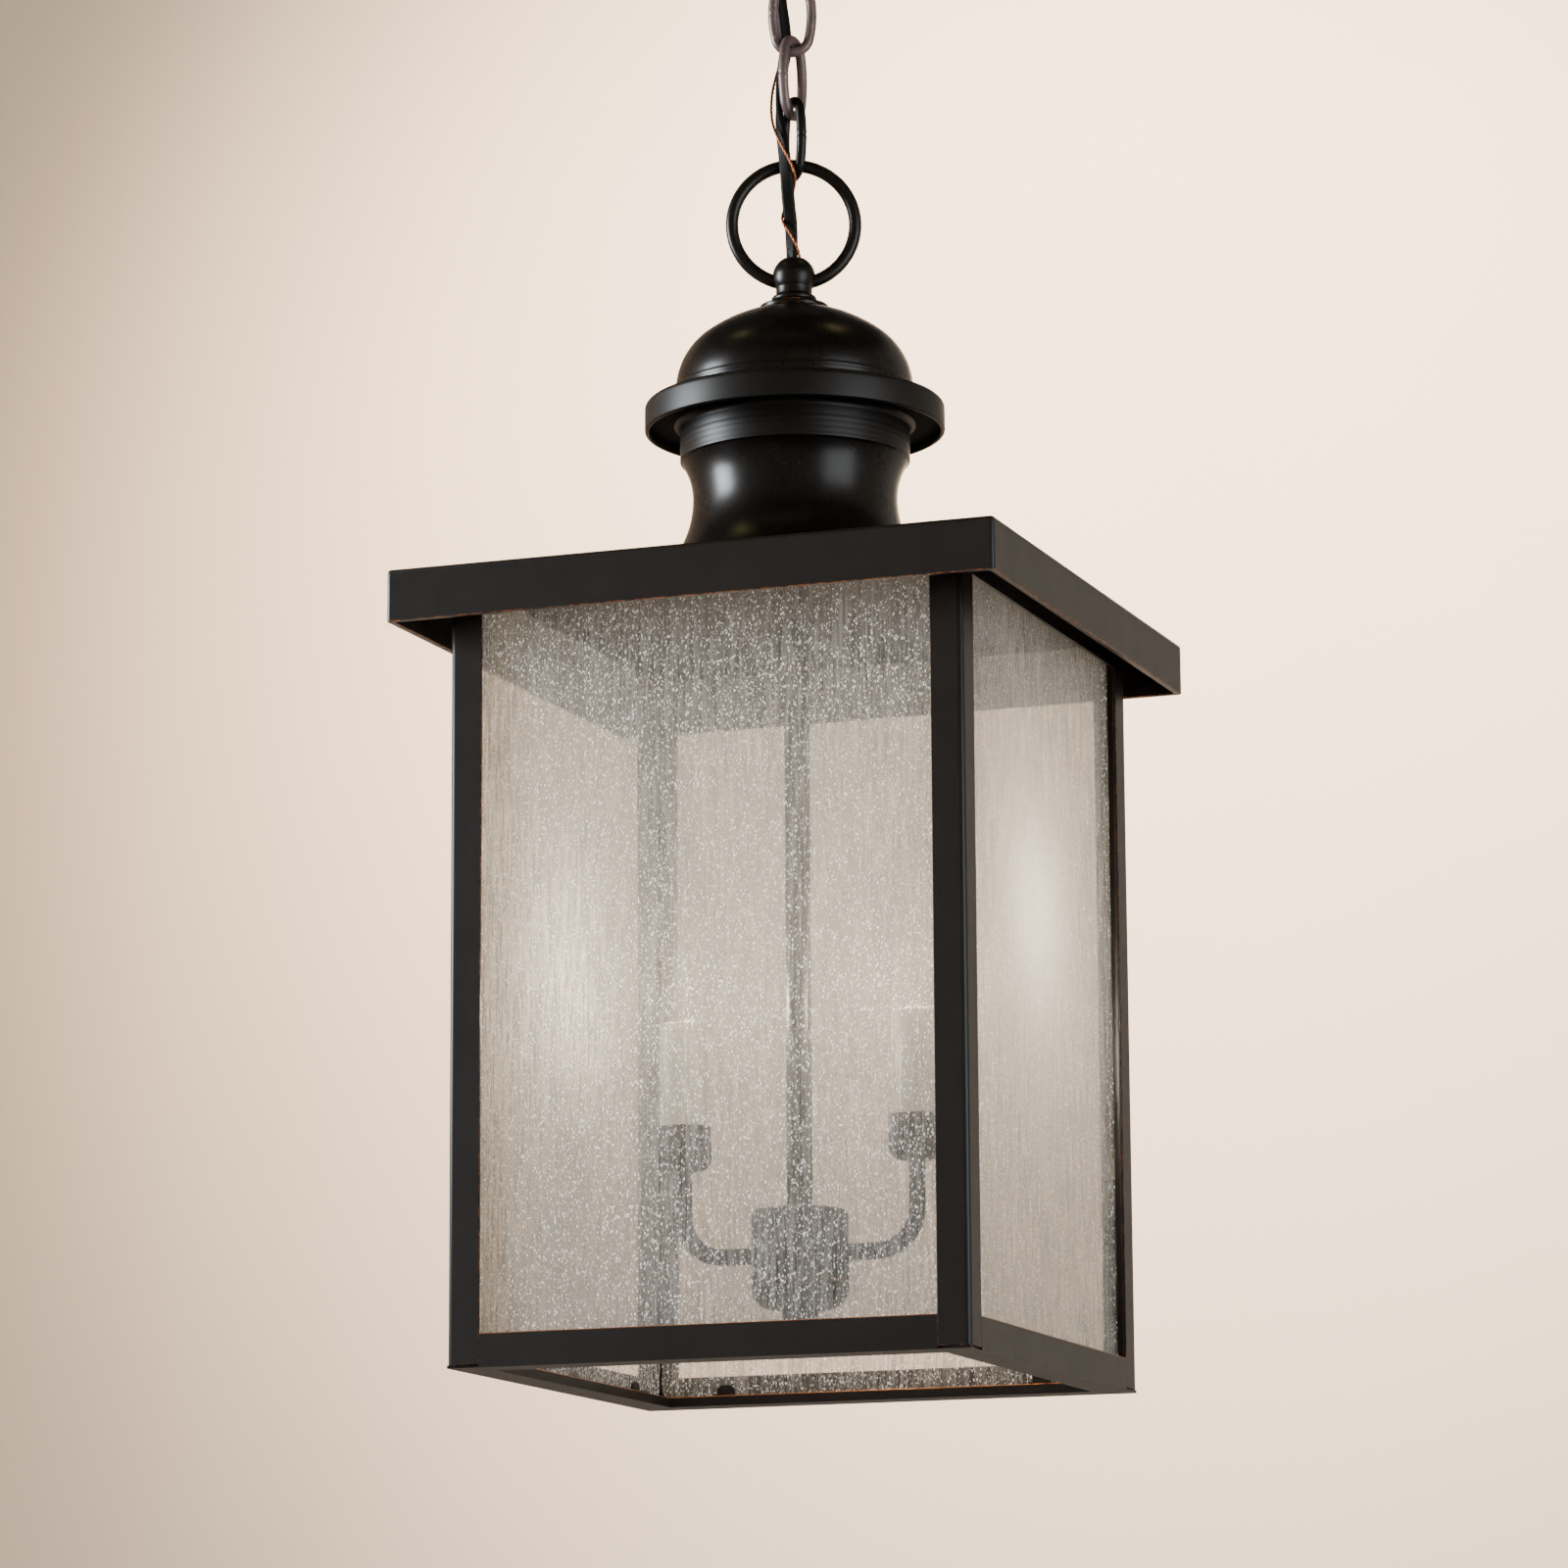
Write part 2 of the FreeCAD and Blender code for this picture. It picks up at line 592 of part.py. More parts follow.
def make_dome(label):
    """Spun dome: a straight band, a tight shoulder and a wide crown, all tangent, and a flat top."""
    body = new_body(label)
    wall = s.spun_wall
    shoulder_x = s.dome_radius - s.dome_shoulder
    between = crown_arc - s.dome_shoulder
    crown_inside = crown_arc - wall
    flat_level = dome_flat_rise + s.band_height
    lean_x = shoulder_x / between
    lean_z = -crown_centre / between
    flat_depth = dome_flat_rise - wall - crown_centre
    flat_inside = root(crown_inside * crown_inside - flat_depth * flat_depth)
    crown_level = crown_centre + s.band_height
    spin(body, [
        (s.dome_radius - wall, 0),
        (s.dome_radius + s.band_step, 0),
        (s.dome_radius + s.band_step, s.band_height - s.band_step),
        (s.dome_radius, s.band_height),
        (crown_arc * lean_x, crown_level + crown_arc * lean_z, s.dome_shoulder, 1),
        (s.dome_flat, flat_level, crown_arc, 1),
        (pipe_hole, flat_level),
        (pipe_hole, flat_level - wall),
        (flat_inside, flat_level - wall),
        (crown_inside * lean_x, crown_level + crown_inside * lean_z, crown_inside, -1),
        (s.dome_radius - wall, s.band_height, s.dome_shoulder - wall, -1),
    ])
    place(body, brim_top)


def make_brim(label):
    """Flat brim with a rounded shoulder and a turned-down rim."""
    body = new_body(label)
    under = s.rim_height - s.spun_wall
    spin(body, [
        (s.brim_radius - s.rim_wall, 0),
        (s.brim_radius, 0),
        (s.brim_radius, s.rim_height - s.rim_round),
        (s.brim_radius - s.rim_round, s.rim_height, s.rim_round, 1),
        (pipe_hole, s.rim_height),
        (pipe_hole, under),
        (s.brim_radius - s.rim_wall, under),
    ])
    place(body, rim_bottom)


def make_neck(label):
    """Flared spun neck: rounded foot, waist, and a coved collar under the brim's plate."""
    body = new_body(label)
    wall = s.spun_wall
    foot_top_x = s.neck_foot - s.neck_foot_round
    flare = tangent_radius(foot_top_x - s.neck_waist, s.waist_height - s.neck_foot_height)
    collar_x = s.collar_radius - s.collar_ledge
    upper = tangent_radius(collar_x - s.neck_waist, s.collar_foot - s.waist_height)
    lean_x = (s.neck_waist + flare - foot_top_x) / flare
    lean_z = (s.waist_height - s.neck_foot_height) / flare
    top_inside = s.neck_height - wall
    spin(body, [
        (s.neck_foot - wall, 0),
        (s.neck_foot, 0),
        (s.neck_foot, s.neck_foot_height - s.neck_foot_round),
        (foot_top_x, s.neck_foot_height, s.neck_foot_round, 1),
        (s.neck_waist, s.waist_height, flare, -1),
        (collar_x, s.collar_foot, upper, -1),
        (s.collar_radius, s.collar_foot),
        (s.collar_radius, s.neck_height - s.collar_cove),
        (s.collar_radius + s.collar_cove, s.neck_height, s.collar_cove, -1),
        (pipe_hole, s.neck_height),
        (pipe_hole, top_inside),
        (s.collar_radius - wall, top_inside),
        (s.collar_radius - wall, s.collar_foot + wall),
        (collar_x - wall, s.collar_foot),
        (s.neck_waist - wall, s.waist_height, upper + wall, 1),
        (foot_top_x - wall * lean_x, s.neck_foot_height - wall * lean_z, flare + wall, 1),
        (foot_top_x, s.neck_foot_height - wall),
        (s.neck_foot - wall, s.neck_foot_height - s.neck_foot_round, s.neck_foot_round - wall, -1),
    ])
    place(body, roof_top)


# Roof and glazed frame
def make_roof(label):
    """Square pan with a plain skirt, its lower edge hemmed inside."""
    body = new_body(label)
    half = s.roof_side / 2
    wall = s.sheet_wall
    top = pad(body, outline(body, "XY_Plane", rounded_square(half, s.roof_corner)), s.roof_skirt)
    doc.recompute()
    level = number(s.roof_skirt)
    edges = [
        f"Edge{index}" for index, edge in enumerate(top.Shape.Edges, start=1)
        if edge.BoundBox.ZMin > level - 1e-4
    ]
    feature(body, "Fillet", Base=(top, edges), Radius=s.roof_corner * 0.9)
    inner = outline(body, "XY_Plane", rounded_square(half - wall, s.roof_corner - wall))
    feature(body, "Pocket", Profile=inner, Length=s.roof_skirt - wall, Reversed=True)
    hem = outline(body, "XY_Plane", rounded_square(half - wall / 2, s.roof_corner - wall / 2))
    pad(body, hem, s.hem_height)
    opening = outline(body, "XY_Plane", rounded_square(half - 2 * wall, wall / 4))
    feature(body, "Pocket", Profile=opening, Length=s.hem_height, Reversed=True)
    cut_through(body, circles(body, "XY_Plane", [(0, 0, pipe_hole)]))
    place(body, roof_top - s.roof_skirt)


def make_post(label, turn):
    """Corner post: a folded angle, standing on the bottom rails."""
    body = new_body(label)
    half = body_half
    wall = s.sheet_wall
    edge = half - s.angle_leg
    bend = half - s.bend_radius
    angle = outline(body, "XY_Plane", [
        (half, edge),
        (half, bend),
        (bend, half, s.bend_radius, 1),
        (edge, half),
        (edge, half - wall),
        (bend, half - wall),
        (half - wall, bend, s.bend_radius - wall, -1),
        (half - wall, edge),
    ])
    pad(body, angle, s.body_height - 2 * wall)
    place(body, frame_bottom + wall, turn=turn)


def make_bottom_rail(label, turn):
    """Bottom rail: sheet folded to a flat box with mitred ends, and an upright leg between the posts."""
    body = new_body(label)
    wall = s.sheet_wall
    inner = body_half - s.rail_flange
    shelf = body_half - wall - s.shelf_gap
    for outside, level, height in (
        (body_half, 0, wall),
        (inner + wall, 0, s.rail_lip),
        (shelf, s.rail_lip - wall, wall),
    ):
        strip = [(-outside, -outside), (outside, -outside), (inner, -inner), (-inner, -inner)]
        pad(body, outline(body, "XY_Plane", strip, lift=level), height)
    end = body_half - s.angle_leg
    skin = wall - body_half
    leg = outline(body, "XY_Plane", [(-end, -body_half), (end, -body_half), (end, skin), (-end, skin)])
    pad(body, leg, s.angle_leg)
    place(body, frame_bottom, turn=turn)


def make_top_rails(label):
    """Four angles under the roof, between the posts."""
    body = new_body(label)
    half = body_half
    inner = half - s.angle_leg
    skin = s.sheet_wall - half
    flange = outline(body, "XY_Plane", [(-inner, -half), (inner, -half), (inner, -inner), (-inner, -inner)])
    leg = outline(body, "XY_Plane", [(-inner, -half), (inner, -half), (inner, skin), (-inner, skin)])
    parts = [pad(body, flange, s.sheet_wall, Reversed=True), pad(body, leg, s.angle_leg, Reversed=True)]
    polar(body, parts, 4)
    place(body, roof_underside)


def make_pane(label, turn):
    """Seeded glass pane behind the posts and rails, standing on the rail's shelf."""
    body = new_body(label)
    half = pane_face - s.glass_gap
    height = s.body_height - s.rail_lip - 2 * s.sheet_wall - s.glass_top_gap
    corner = s.glass_corner
    pane = outline(body, "XZ_Plane", [
        (-half, corner),
        (corner - half, 0, corner, 1),
        (half - corner, 0),
        (half, corner, corner, 1),
        (half, height),
        (-half, height),
    ], lift=pane_face)
    pad(body, pane, s.glass_wall)
    place(body, frame_bottom + s.rail_lip, turn=turn)


def make_tabs(label):
    """Bent tabs on the bottom rails, two to a pane, that stop the glass on the inside."""
    body = new_body(label)
    shoulder = s.tab_height - s.tab_round
    front = -pane_face
    back = s.tab_foot - pane_face
    parts = []
    for side in (-1, 1):
        left = s.tab_inset * side - s.tab_width / 2
        right = s.tab_inset * side + s.tab_width / 2
        foot = outline(body, "XY_Plane", [(left, front), (right, front), (right, back), (left, back)])
        upright = outline(body, "XZ_Plane", [
            (left, 0),
            (right, 0),
            (right, shoulder),
            (right - s.tab_round, s.tab_height, s.tab_round, 1),
            (left + s.tab_round, s.tab_height),
            (left, shoulder, s.tab_round, 1),
        ], lift=pane_face)
        parts.append(pad(body, foot, s.tab_wall))
        parts.append(pad(body, upright, s.tab_wall, Reversed=True))
    polar(body, parts, 4)
    place(body, frame_bottom + s.rail_lip)


# Candle cluster
def make_hub(label):
    """Drum that the arms leave from, closed above and open below."""
    body = new_body(label)
    wall = s.spun_wall
    rounded = s.hub_radius - s.hub_round
    edge_z = s.hub_height - s.hub_round
    spin(body, [
        (s.hub_radius - wall, 0),
        (s.hub_radius, 0),
        (s.hub_radius, edge_z),
        (rounded, s.hub_height, s.hub_round, 1),
        (pipe_hole, s.hub_height),
        (pipe_hole, s.hub_height - wall),
        (rounded, s.hub_height - wall),
        (s.hub_radius - wall, edge_z, s.hub_round - wall, -1),
    ])
    hole = circles(body, "YZ_Plane", [(0, s.hub_height - s.arm_drop, s.arm_radius + s.thread_gap)])
    entry = feature(body, "Pocket", Profile=hole, Length=s.hub_radius + wall, Reversed=True)
    polar(body, [entry], len(ARMS))
    place(body, hub_bottom, turn=s.arm_turn)


def make_cover(label):
    """Dished cover under the hub."""
    body = new_body(label)
    wall = s.spun_wall
    dish = tangent_radius(s.hub_radius - s.cover_flat, s.cover_height)
    spin(body, [
        (s.hub_radius - wall, 0),
        (s.cover_flat, wall - s.cover_height, dish - wall, -1),
        (pipe_hole, wall - s.cover_height),
        (pipe_hole, -s.cover_height),
        (s.cover_flat, -s.cover_height),
        (s.hub_radius, 0, dish, 1),
    ])
    place(body, hub_bottom)


def make_finial(label):
    """Knob screwed on the stem's end."""
    body = new_body(label)
    knob = tangent_radius(s.finial_radius - s.finial_tip, s.finial_height - s.finial_band)
    spin(body, [
        (pipe_hole, 0),
        (pipe_hole, -s.finial_socket),
        (0, -s.finial_socket),
        (0, -s.finial_height),
        (s.finial_tip, -s.finial_height),
        (s.finial_radius, -s.finial_band, knob, 1),
        (s.finial_radius, 0),
    ])
    place(body, finial_z)


def make_arm(label, turn):
    """Curved tube from the hub to a candle cup."""
    body = new_body(label)
    bend_x = s.arm_reach - s.arm_bend - arm_start
    end_x = s.arm_reach - arm_start
    path = outline(body, "XZ_Plane", [
        (0, 0),
        (bend_x, 0),
        (end_x, s.arm_bend, s.arm_bend, 1),
        (end_x, s.arm_rise + s.cup_floor),
    ], closed=False)
    tube = circles(body, "YZ_Plane", [(0, 0, s.arm_radius), (0, 0, s.arm_bore)])
    feature(body, "AdditivePipe", Profile=tube, Spine=path)
    place(body, arm_z, arm_start * cosine(turn), arm_start * sine(turn), turn)


def make_cup(label, turn):
    """Candle cup: a rounded base on the arm's end and a rim round the sleeve."""
    body = new_body(label)
    arm_hole = s.arm_radius + s.thread_gap
    foot = s.cup_radius - s.cup_floor
    spin(body, [
        (arm_hole, 0),
        (foot, 0),
        (s.cup_radius, s.cup_floor, s.cup_floor, 1),
        (s.cup_radius, s.cup_height),
        (sleeve_hole, s.cup_height),
        (sleeve_hole, s.cup_floor),
        (arm_hole, s.cup_floor),
    ])
    place(body, cup_z, s.arm_reach * cosine(turn), s.arm_reach * sine(turn))


def make_sleeves(label):
    """Candle sleeves, one in each cup."""
    body = new_body(label)
    inside = s.sleeve_radius - s.sleeve_wall
    tube = circles(body, "XY_Plane", [(s.arm_reach, 0, s.sleeve_radius), (s.arm_reach, 0, inside)])
    polar(body, [pad(body, tube, s.sleeve_height)], len(ARMS))
    place(body, sleeve_z, turn=s.arm_turn)


def make_sockets(label):
    """Lamp sockets inside the sleeves, standing on the cups."""
    body = new_body(label)
    outside = s.sleeve_radius - s.sleeve_wall - s.candle_gap
    stand = s.sleeve_height - s.socket_top - s.bulb_base
    post = circles(body, "XY_Plane", [(s.arm_reach, 0, outside), (s.arm_reach, 0, s.arm_bore)])
    screw = s.bulb_thread + s.thread_gap
    cup = circles(body, "XY_Plane", [(s.arm_reach, 0, outside), (s.arm_reach, 0, screw)], lift=stand)
    polar(body, [pad(body, post, stand), pad(body, cup, s.bulb_base)], len(ARMS))
    place(body, sleeve_z, turn=s.arm_turn)


def make_bases(label):
    """Screw bases of the bulbs, in the sockets."""
    body = new_body(label)
    base = circles(body, "XY_Plane", [(s.arm_reach, 0, s.bulb_thread)])
    polar(body, [pad(body, base, s.bulb_base)], len(ARMS))
    place(body, bulb_z - s.bulb_base, turn=s.arm_turn)


def make_bulb(label, turn):
    """Hollow torpedo bulb."""
    body = new_body(label)
    wall = s.bulb_wall
    foot = s.bulb_thread
    swell = tangent_radius(s.bulb_radius - foot, s.bulb_middle - s.bulb_foot)
    taper = tangent_radius(s.bulb_radius - s.bulb_tip, s.bulb_height - s.bulb_middle)
    inner_taper = tangent_radius(s.bulb_radius - s.bulb_tip, s.bulb_height - s.bulb_middle - wall)
    spin(body, [
        (foot - wall, 0),
        (foot, 0),
        (foot, s.bulb_foot),
        (s.bulb_radius, s.bulb_middle, swell, 1),
        (s.bulb_tip, s.bulb_height, taper, 1),
        (0, s.bulb_height),
        (0, s.bulb_height - wall),
        (s.bulb_tip - wall, s.bulb_height - wall),
        (s.bulb_radius - wall, s.bulb_middle, inner_taper, -1),
        (foot - wall, s.bulb_foot, swell, -1),
    ])
    place(body, bulb_z, s.arm_reach * cosine(turn), s.arm_reach * sine(turn))


# Cords. A route is a list of (across, toward, height): across and toward lie in the hanging ring's frame,
# across along the ring's plane and toward at right angles to it, on the side of the front pane.
def route_point(across, toward, height):
    turn = math.radians(number(s.ring_turn))
    x = across * math.cos(turn) + toward * math.sin(turn)
    y = across * math.sin(turn) - toward * math.cos(turn)
    return Vector(x, y, height)


def rounded_wire(points):
    """Straight runs between the points, joined by tangent arcs."""
    edges = []
    radii = []
    start = points[0]
    for before, corner, after in zip(points, points[1:], points[2:]):
        back = before - corner
        ahead = after - corner
        half_turn = (math.pi - back.getAngle(ahead)) / 2
        trim = 0.45 * min(back.Length, ahead.Length)
        radius = trim / math.tan(half_turn)
        back.normalize()
        ahead.normalize()
        first = corner + back * trim
        last = corner + ahead * trim
        to_centre = (back + ahead).normalize()
        middle = corner + to_centre * (radius / math.cos(half_turn) - radius)
        edges.append(Part.LineSegment(start, first).toShape())
        edges.append(Part.Arc(first, middle, last).toShape())
        radii.append(radius)
        start = last
    edges.append(Part.LineSegment(start, points[-1]).toShape())
    return Part.Wire(edges), radii


def make_cord(label, points, diameter):
    """Round tube along a rounded route."""
    wire, radii = rounded_wire(points)
    along = points[1] - points[0]
    section = Part.Wire(Part.makeCircle(diameter / 2, points[0], along))
    cord = doc.addObject("Part::Feature", label)
    cord.Label = label
    cord.Shape = wire.makePipeShell([section], True, False)
    pieces.append(cord)
    tightest = min(radii) / diameter
    filled = cord.Shape.Volume / (math.pi * diameter * diameter / 4 * wire.Length)
    print(f"{label}: length {wire.Length:.1f}, tightest bend {tightest:.1f} diameters, filled {filled:.4f}")


def make_cord_sections(labels, groups, diameter):
    """One cord in sections that meet in the middle of the runs between the groups."""
    starts = [[]]
    for group, follower in zip(groups, groups[1:]):
        starts.append([(group[-1] + follower[0]) / 2])
    stops = starts[1:] + [[]]
    for label, start, group, stop in zip(labels, starts, groups, stops):
        make_cord(label, [point for point in start + group + stop], diameter)


def route(anchor, steps):
    """Points of a route, with heights given from a piece of the chain."""
    return [route_point(across, toward, number(anchor) + rise) for across, toward, rise in steps]


# Making, from the ceiling down
ceiling_pipe_end = ceiling_seat - s.socket_depth
loop_pipe_end = loop_seat + s.socket_depth
ceiling_loop = (s.ceiling_ring_radius, s.ceiling_ring_wire, s.ceiling_ring_reach)
lantern_loop = (s.ring_radius, s.ring_wire, s.ring_reach)
coupling_top = roof_underside - s.nut_height
coupling_middle = coupling_top - s.coupling_length / 2

make_canopy("ceiling_canopy")
make_crossbar("crossbar")
make_pipe("canopy_nipple", -s.seat_gap, ceiling_pipe_end)
make_locknut("nipple_locknut", -s.crossbar_wall - s.nut_height)
make_collar("canopy_lock_ring", s.lock_radius, s.lock_height, ceiling_seat)
make_ball("ceiling_ball", *ceiling_loop, ceiling_seat, s.ceiling_ring_turn, upside_down=True)
make_ring("ceiling_ring", *ceiling_loop, ceiling_ring_z, s.ceiling_ring_turn, upside_down=True)

make_link("upper_link", upper_link_z, s.upper_link_turn)
make_link("middle_link", middle_link_z, s.middle_link_turn)
make_link("lower_link", lower_link_z, s.lower_link_turn)

make_ring("hanging_ring", *lantern_loop, ring_z, s.ring_turn)
make_ball("loop_ball", *lantern_loop, loop_seat, s.ring_turn)
make_collar("loop_lock_ring", s.lock_radius, s.lock_height, cap_top)
make_washer("dome_washer")
make_dome("dome")
make_brim("brim")
make_collar("brim_plate", s.brim_radius - s.rim_wall - s.seat_gap, s.spun_wall, neck_top)
make_neck("neck")
make_pipe("crown_nipple", loop_pipe_end, coupling_middle)
make_roof("roof_pan")
make_locknut("roof_nut", roof_underside - s.nut_height)

for index, (side, corner) in enumerate(zip(SIDES, CORNERS)):
    make_post(f"post_{corner}", 90 * index)
    make_bottom_rail(f"bottom_rail_{side}", 90 * index)
    make_pane(f"glass_{side}", 90 * index)
make_top_rails("top_rails")
make_tabs("glass_tabs")

make_collar("stem_coupling", s.coupling_radius, s.coupling_length, coupling_top - s.coupling_length)
make_pipe("stem", coupling_middle - s.stem_gap, finial_z - s.finial_socket)
make_hub("hub")
make_cover("hub_cover")
make_finial("hub_finial")
for index, place_name in enumerate(ARMS):
    turn = s.arm_turn + 360 / len(ARMS) * index
    make_arm(f"arm_{place_name}", turn)
    make_cup(f"cup_{place_name}", turn)
    make_bulb(f"bulb_{place_name}", turn)
make_sleeves("candle_sleeves")
make_sockets("lamp_sockets")
make_bases("bulb_bases")

cable_groups = [
    [route_point(-0.3, 0, number(loop_pipe_end))]
    + route(ring_z, [(-0.7, 0.1, -13), (-0.9, 1.3, -1), (-2.1, 4.2, 9), (-2.7, 6, 19)]),
    route(lower_link_z, [(-4.2, 4.5, -1), (-5.6, 0.9, 9), (-5.3, -1.4, 18)]),
    route(middle_link_z, [(-4.2, -3.8, 4), (-2.4, -5, 14), (-3.2, -5.6, 24)]),
    route(ceiling_ring_z, [(-4.9, -5.1, -14), (-3.1, -3.7, -5), (0.7, -1, 4)])
    + [route_point(0.5, 0.5, number(ceiling_pipe_end))],
]
make_cord_sections([f"cable_{name}" for name in SECTIONS], cable_groups, number(s.cable_diameter))

ground_groups = [
    [route_point(2.7, 0.3, number(loop_pipe_end))]
    + route(ring_z, [(3, 0.9, -13.5), (-0.6, 4.6, -6), (-5, 2.8, 1)])
    + route(ring_z, [(-3.5, 0, 7), (0.9, 2.8, 14.5), (0.2, 8.6, 21)]),
    route(lower_link_z, [(-5.5, 8, -3), (-8.6, 2.4, 7), (-8.5, -2.8, 19)]),
    route(middle_link_z, [(-6.6, -6.4, 3), (-3.8, -8.2, 13), (-1.8, -8.7, 25)]),
    route(ceiling_ring_z, [(-5.3, -8.4, -15), (-6.4, -6.8, -9), (-5.3, -4.6, -2), (-2.5, -0.6, 4)])
    + [route_point(-2.1, -1.9, number(ceiling_pipe_end))],
]
make_cord_sections([f"ground_{name}" for name in SECTIONS], ground_groups, number(s.ground_diameter))

# Check and write
doc.recompute()
for item in doc.Objects:
    if "Invalid" in item.State or "Error" in item.State:
        raise RuntimeError(f"{item.Name} did not build: {item.State}")
os.makedirs("parts", exist_ok=True)
for piece in pieces:
    shape = piece.Shape
    if shape.isNull() or not shape.isValid() or not shape.Solids:
        raise RuntimeError(f"{piece.Label} has no sound shape")
    shape.exportStep(f"parts/{piece.Label}.step")
print(len(pieces), "pieces")
for words, height in (
    ("upper link", ceiling_wire_z),
    ("middle link", upper_link_z - link_half),
    ("lower link", middle_link_z - link_half),
    ("lantern", lower_link_z - link_half),
    ("roof top", roof_top),
    ("frame bottom", frame_bottom),
):
    print(f"{words} height {number(height):.3f}")
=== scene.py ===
import json
from math import acos, asin, atan2, cos, degrees, pi, radians, sin, sqrt

import bmesh
import bpy
from bpy.props import FloatProperty, FloatVectorProperty, IntProperty, PointerProperty
from bpy.types import Operator, Panel, PropertyGroup
from mathutils import Matrix, Vector
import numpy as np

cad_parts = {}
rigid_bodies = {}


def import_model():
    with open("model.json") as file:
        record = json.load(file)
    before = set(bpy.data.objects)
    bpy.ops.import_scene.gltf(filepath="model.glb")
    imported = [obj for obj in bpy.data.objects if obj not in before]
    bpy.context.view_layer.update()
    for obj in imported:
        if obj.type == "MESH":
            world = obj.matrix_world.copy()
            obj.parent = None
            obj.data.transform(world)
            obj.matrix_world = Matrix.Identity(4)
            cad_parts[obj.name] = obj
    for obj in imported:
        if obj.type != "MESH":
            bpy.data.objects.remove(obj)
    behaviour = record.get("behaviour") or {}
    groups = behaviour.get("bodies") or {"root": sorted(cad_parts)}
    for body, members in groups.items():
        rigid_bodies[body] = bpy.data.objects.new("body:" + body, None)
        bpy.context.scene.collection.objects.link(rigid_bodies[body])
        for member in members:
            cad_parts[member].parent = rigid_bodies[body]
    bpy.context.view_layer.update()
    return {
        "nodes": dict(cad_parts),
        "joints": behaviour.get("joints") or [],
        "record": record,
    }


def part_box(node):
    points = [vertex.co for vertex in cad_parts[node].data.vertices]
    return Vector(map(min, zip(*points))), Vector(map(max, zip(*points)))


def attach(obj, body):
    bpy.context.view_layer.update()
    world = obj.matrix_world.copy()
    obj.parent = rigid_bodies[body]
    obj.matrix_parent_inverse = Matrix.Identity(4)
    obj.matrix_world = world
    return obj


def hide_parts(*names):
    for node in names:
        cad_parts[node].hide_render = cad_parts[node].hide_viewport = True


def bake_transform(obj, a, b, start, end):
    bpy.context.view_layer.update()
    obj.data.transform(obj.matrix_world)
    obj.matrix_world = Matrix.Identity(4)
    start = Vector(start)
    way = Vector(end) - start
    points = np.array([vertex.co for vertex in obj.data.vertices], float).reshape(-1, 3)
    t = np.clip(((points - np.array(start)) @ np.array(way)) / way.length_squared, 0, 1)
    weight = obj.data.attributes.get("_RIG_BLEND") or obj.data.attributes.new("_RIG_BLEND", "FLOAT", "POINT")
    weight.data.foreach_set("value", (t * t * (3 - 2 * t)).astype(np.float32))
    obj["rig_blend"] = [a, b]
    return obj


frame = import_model()

bl_info = {
    "name": "Hanging lantern",
    "version": (1, 0, 0),
    "blender": (4, 5, 0),
    "location": "View3D > Sidebar > Lantern",
    "description": "Dresses the packed hanging lantern with its finished pieces",
    "category": "Object",
}

MM = 0.001
BODY_OF = {
    node: body
    for body, nodes in frame["record"]["behaviour"]["bodies"].items()
    for node in nodes
}
SIDES = ("front", "right", "back", "left")
CORNERS = ("back_right", "back_left", "front_left", "front_right")
ARMS = {"right": 1, "left": -1}
ARM_REACH = 0.0474
# Radius of the hole for the lamp pipe, in millimetres
PIPE_HOLE = 5
# Strength of the painted glow on the glass, an emission in the bulbs' colour that stands in for the bulbs'
# light that the haze passes on, and how steeply it falls with the distance
PAINTED_GLOW_SHARE = 0.00005
PAINTED_GLOW_FALL = 3.5
# Depth of the finest bump in the finishes, in metres
FINE_BUMP = 0.00002
finishes = {}


def length(name, default, description):
    return FloatProperty(
        name=name, default=default, description=description, unit="LENGTH", precision=5, min=0)


def whole(name, default, least, description):
    return IntProperty(name=name, default=default, min=least, description=description)


def number(name, default, description):
    return FloatProperty(name=name, default=default, min=0, description=description)


def tilt(name, default, description):
    return FloatProperty(name=name, default=radians(default), subtype="ANGLE", description=description)


def colour(name, default, description):
    return FloatVectorProperty(
        name=name, default=default, description=description, subtype="COLOR", size=3, min=0, max=1)


class LanternSizes(PropertyGroup):
    """Sizes of the detail that the finished pieces add."""
    turn_steps: whole("Turned steps", 112, 24, "Steps round a turned piece")
    edge_round: length("Edge round", 0.0004, "Rounding of the edges of sheet and turned pieces")
    sheet: length("Sheet", 0.0012, "Thickness of the roof and frame sheet")
    spun: length("Spun sheet", 0.001, "Thickness of the spun pieces")
    angle_leg: length("Angle leg", 0.0127, "Leg of the posts and rails")
    fold: length("Fold", 0.002, "Outer radius of the folded posts")
    flange: length("Flange", 0.014, "Width of the bottom rails' flange")
    lip: length("Lip", 0.004, "Height of the bottom rails' inner wall")
    shelf_gap: length("Shelf gap", 0.0005, "Gap between the shelf of a bottom rail and its leg")
    cable_width: length("Cable width", 0.0052, "Width of the flat twin cable")
    cable_thickness: length("Cable thickness", 0.0028, "Thickness of the flat twin cable")
    ground_width: length("Ground wire", 0.00125, "Diameter of the stranded ground wire")
    strand_pitch: length("Strand pitch", 0.006, "Length of one turn of the ground wire's strands")
    strands: whole("Strands", 3, 3, "Strands round the ground wire")
    knurls: whole("Knurls", 46, 12, "Knurls round a lock ring")


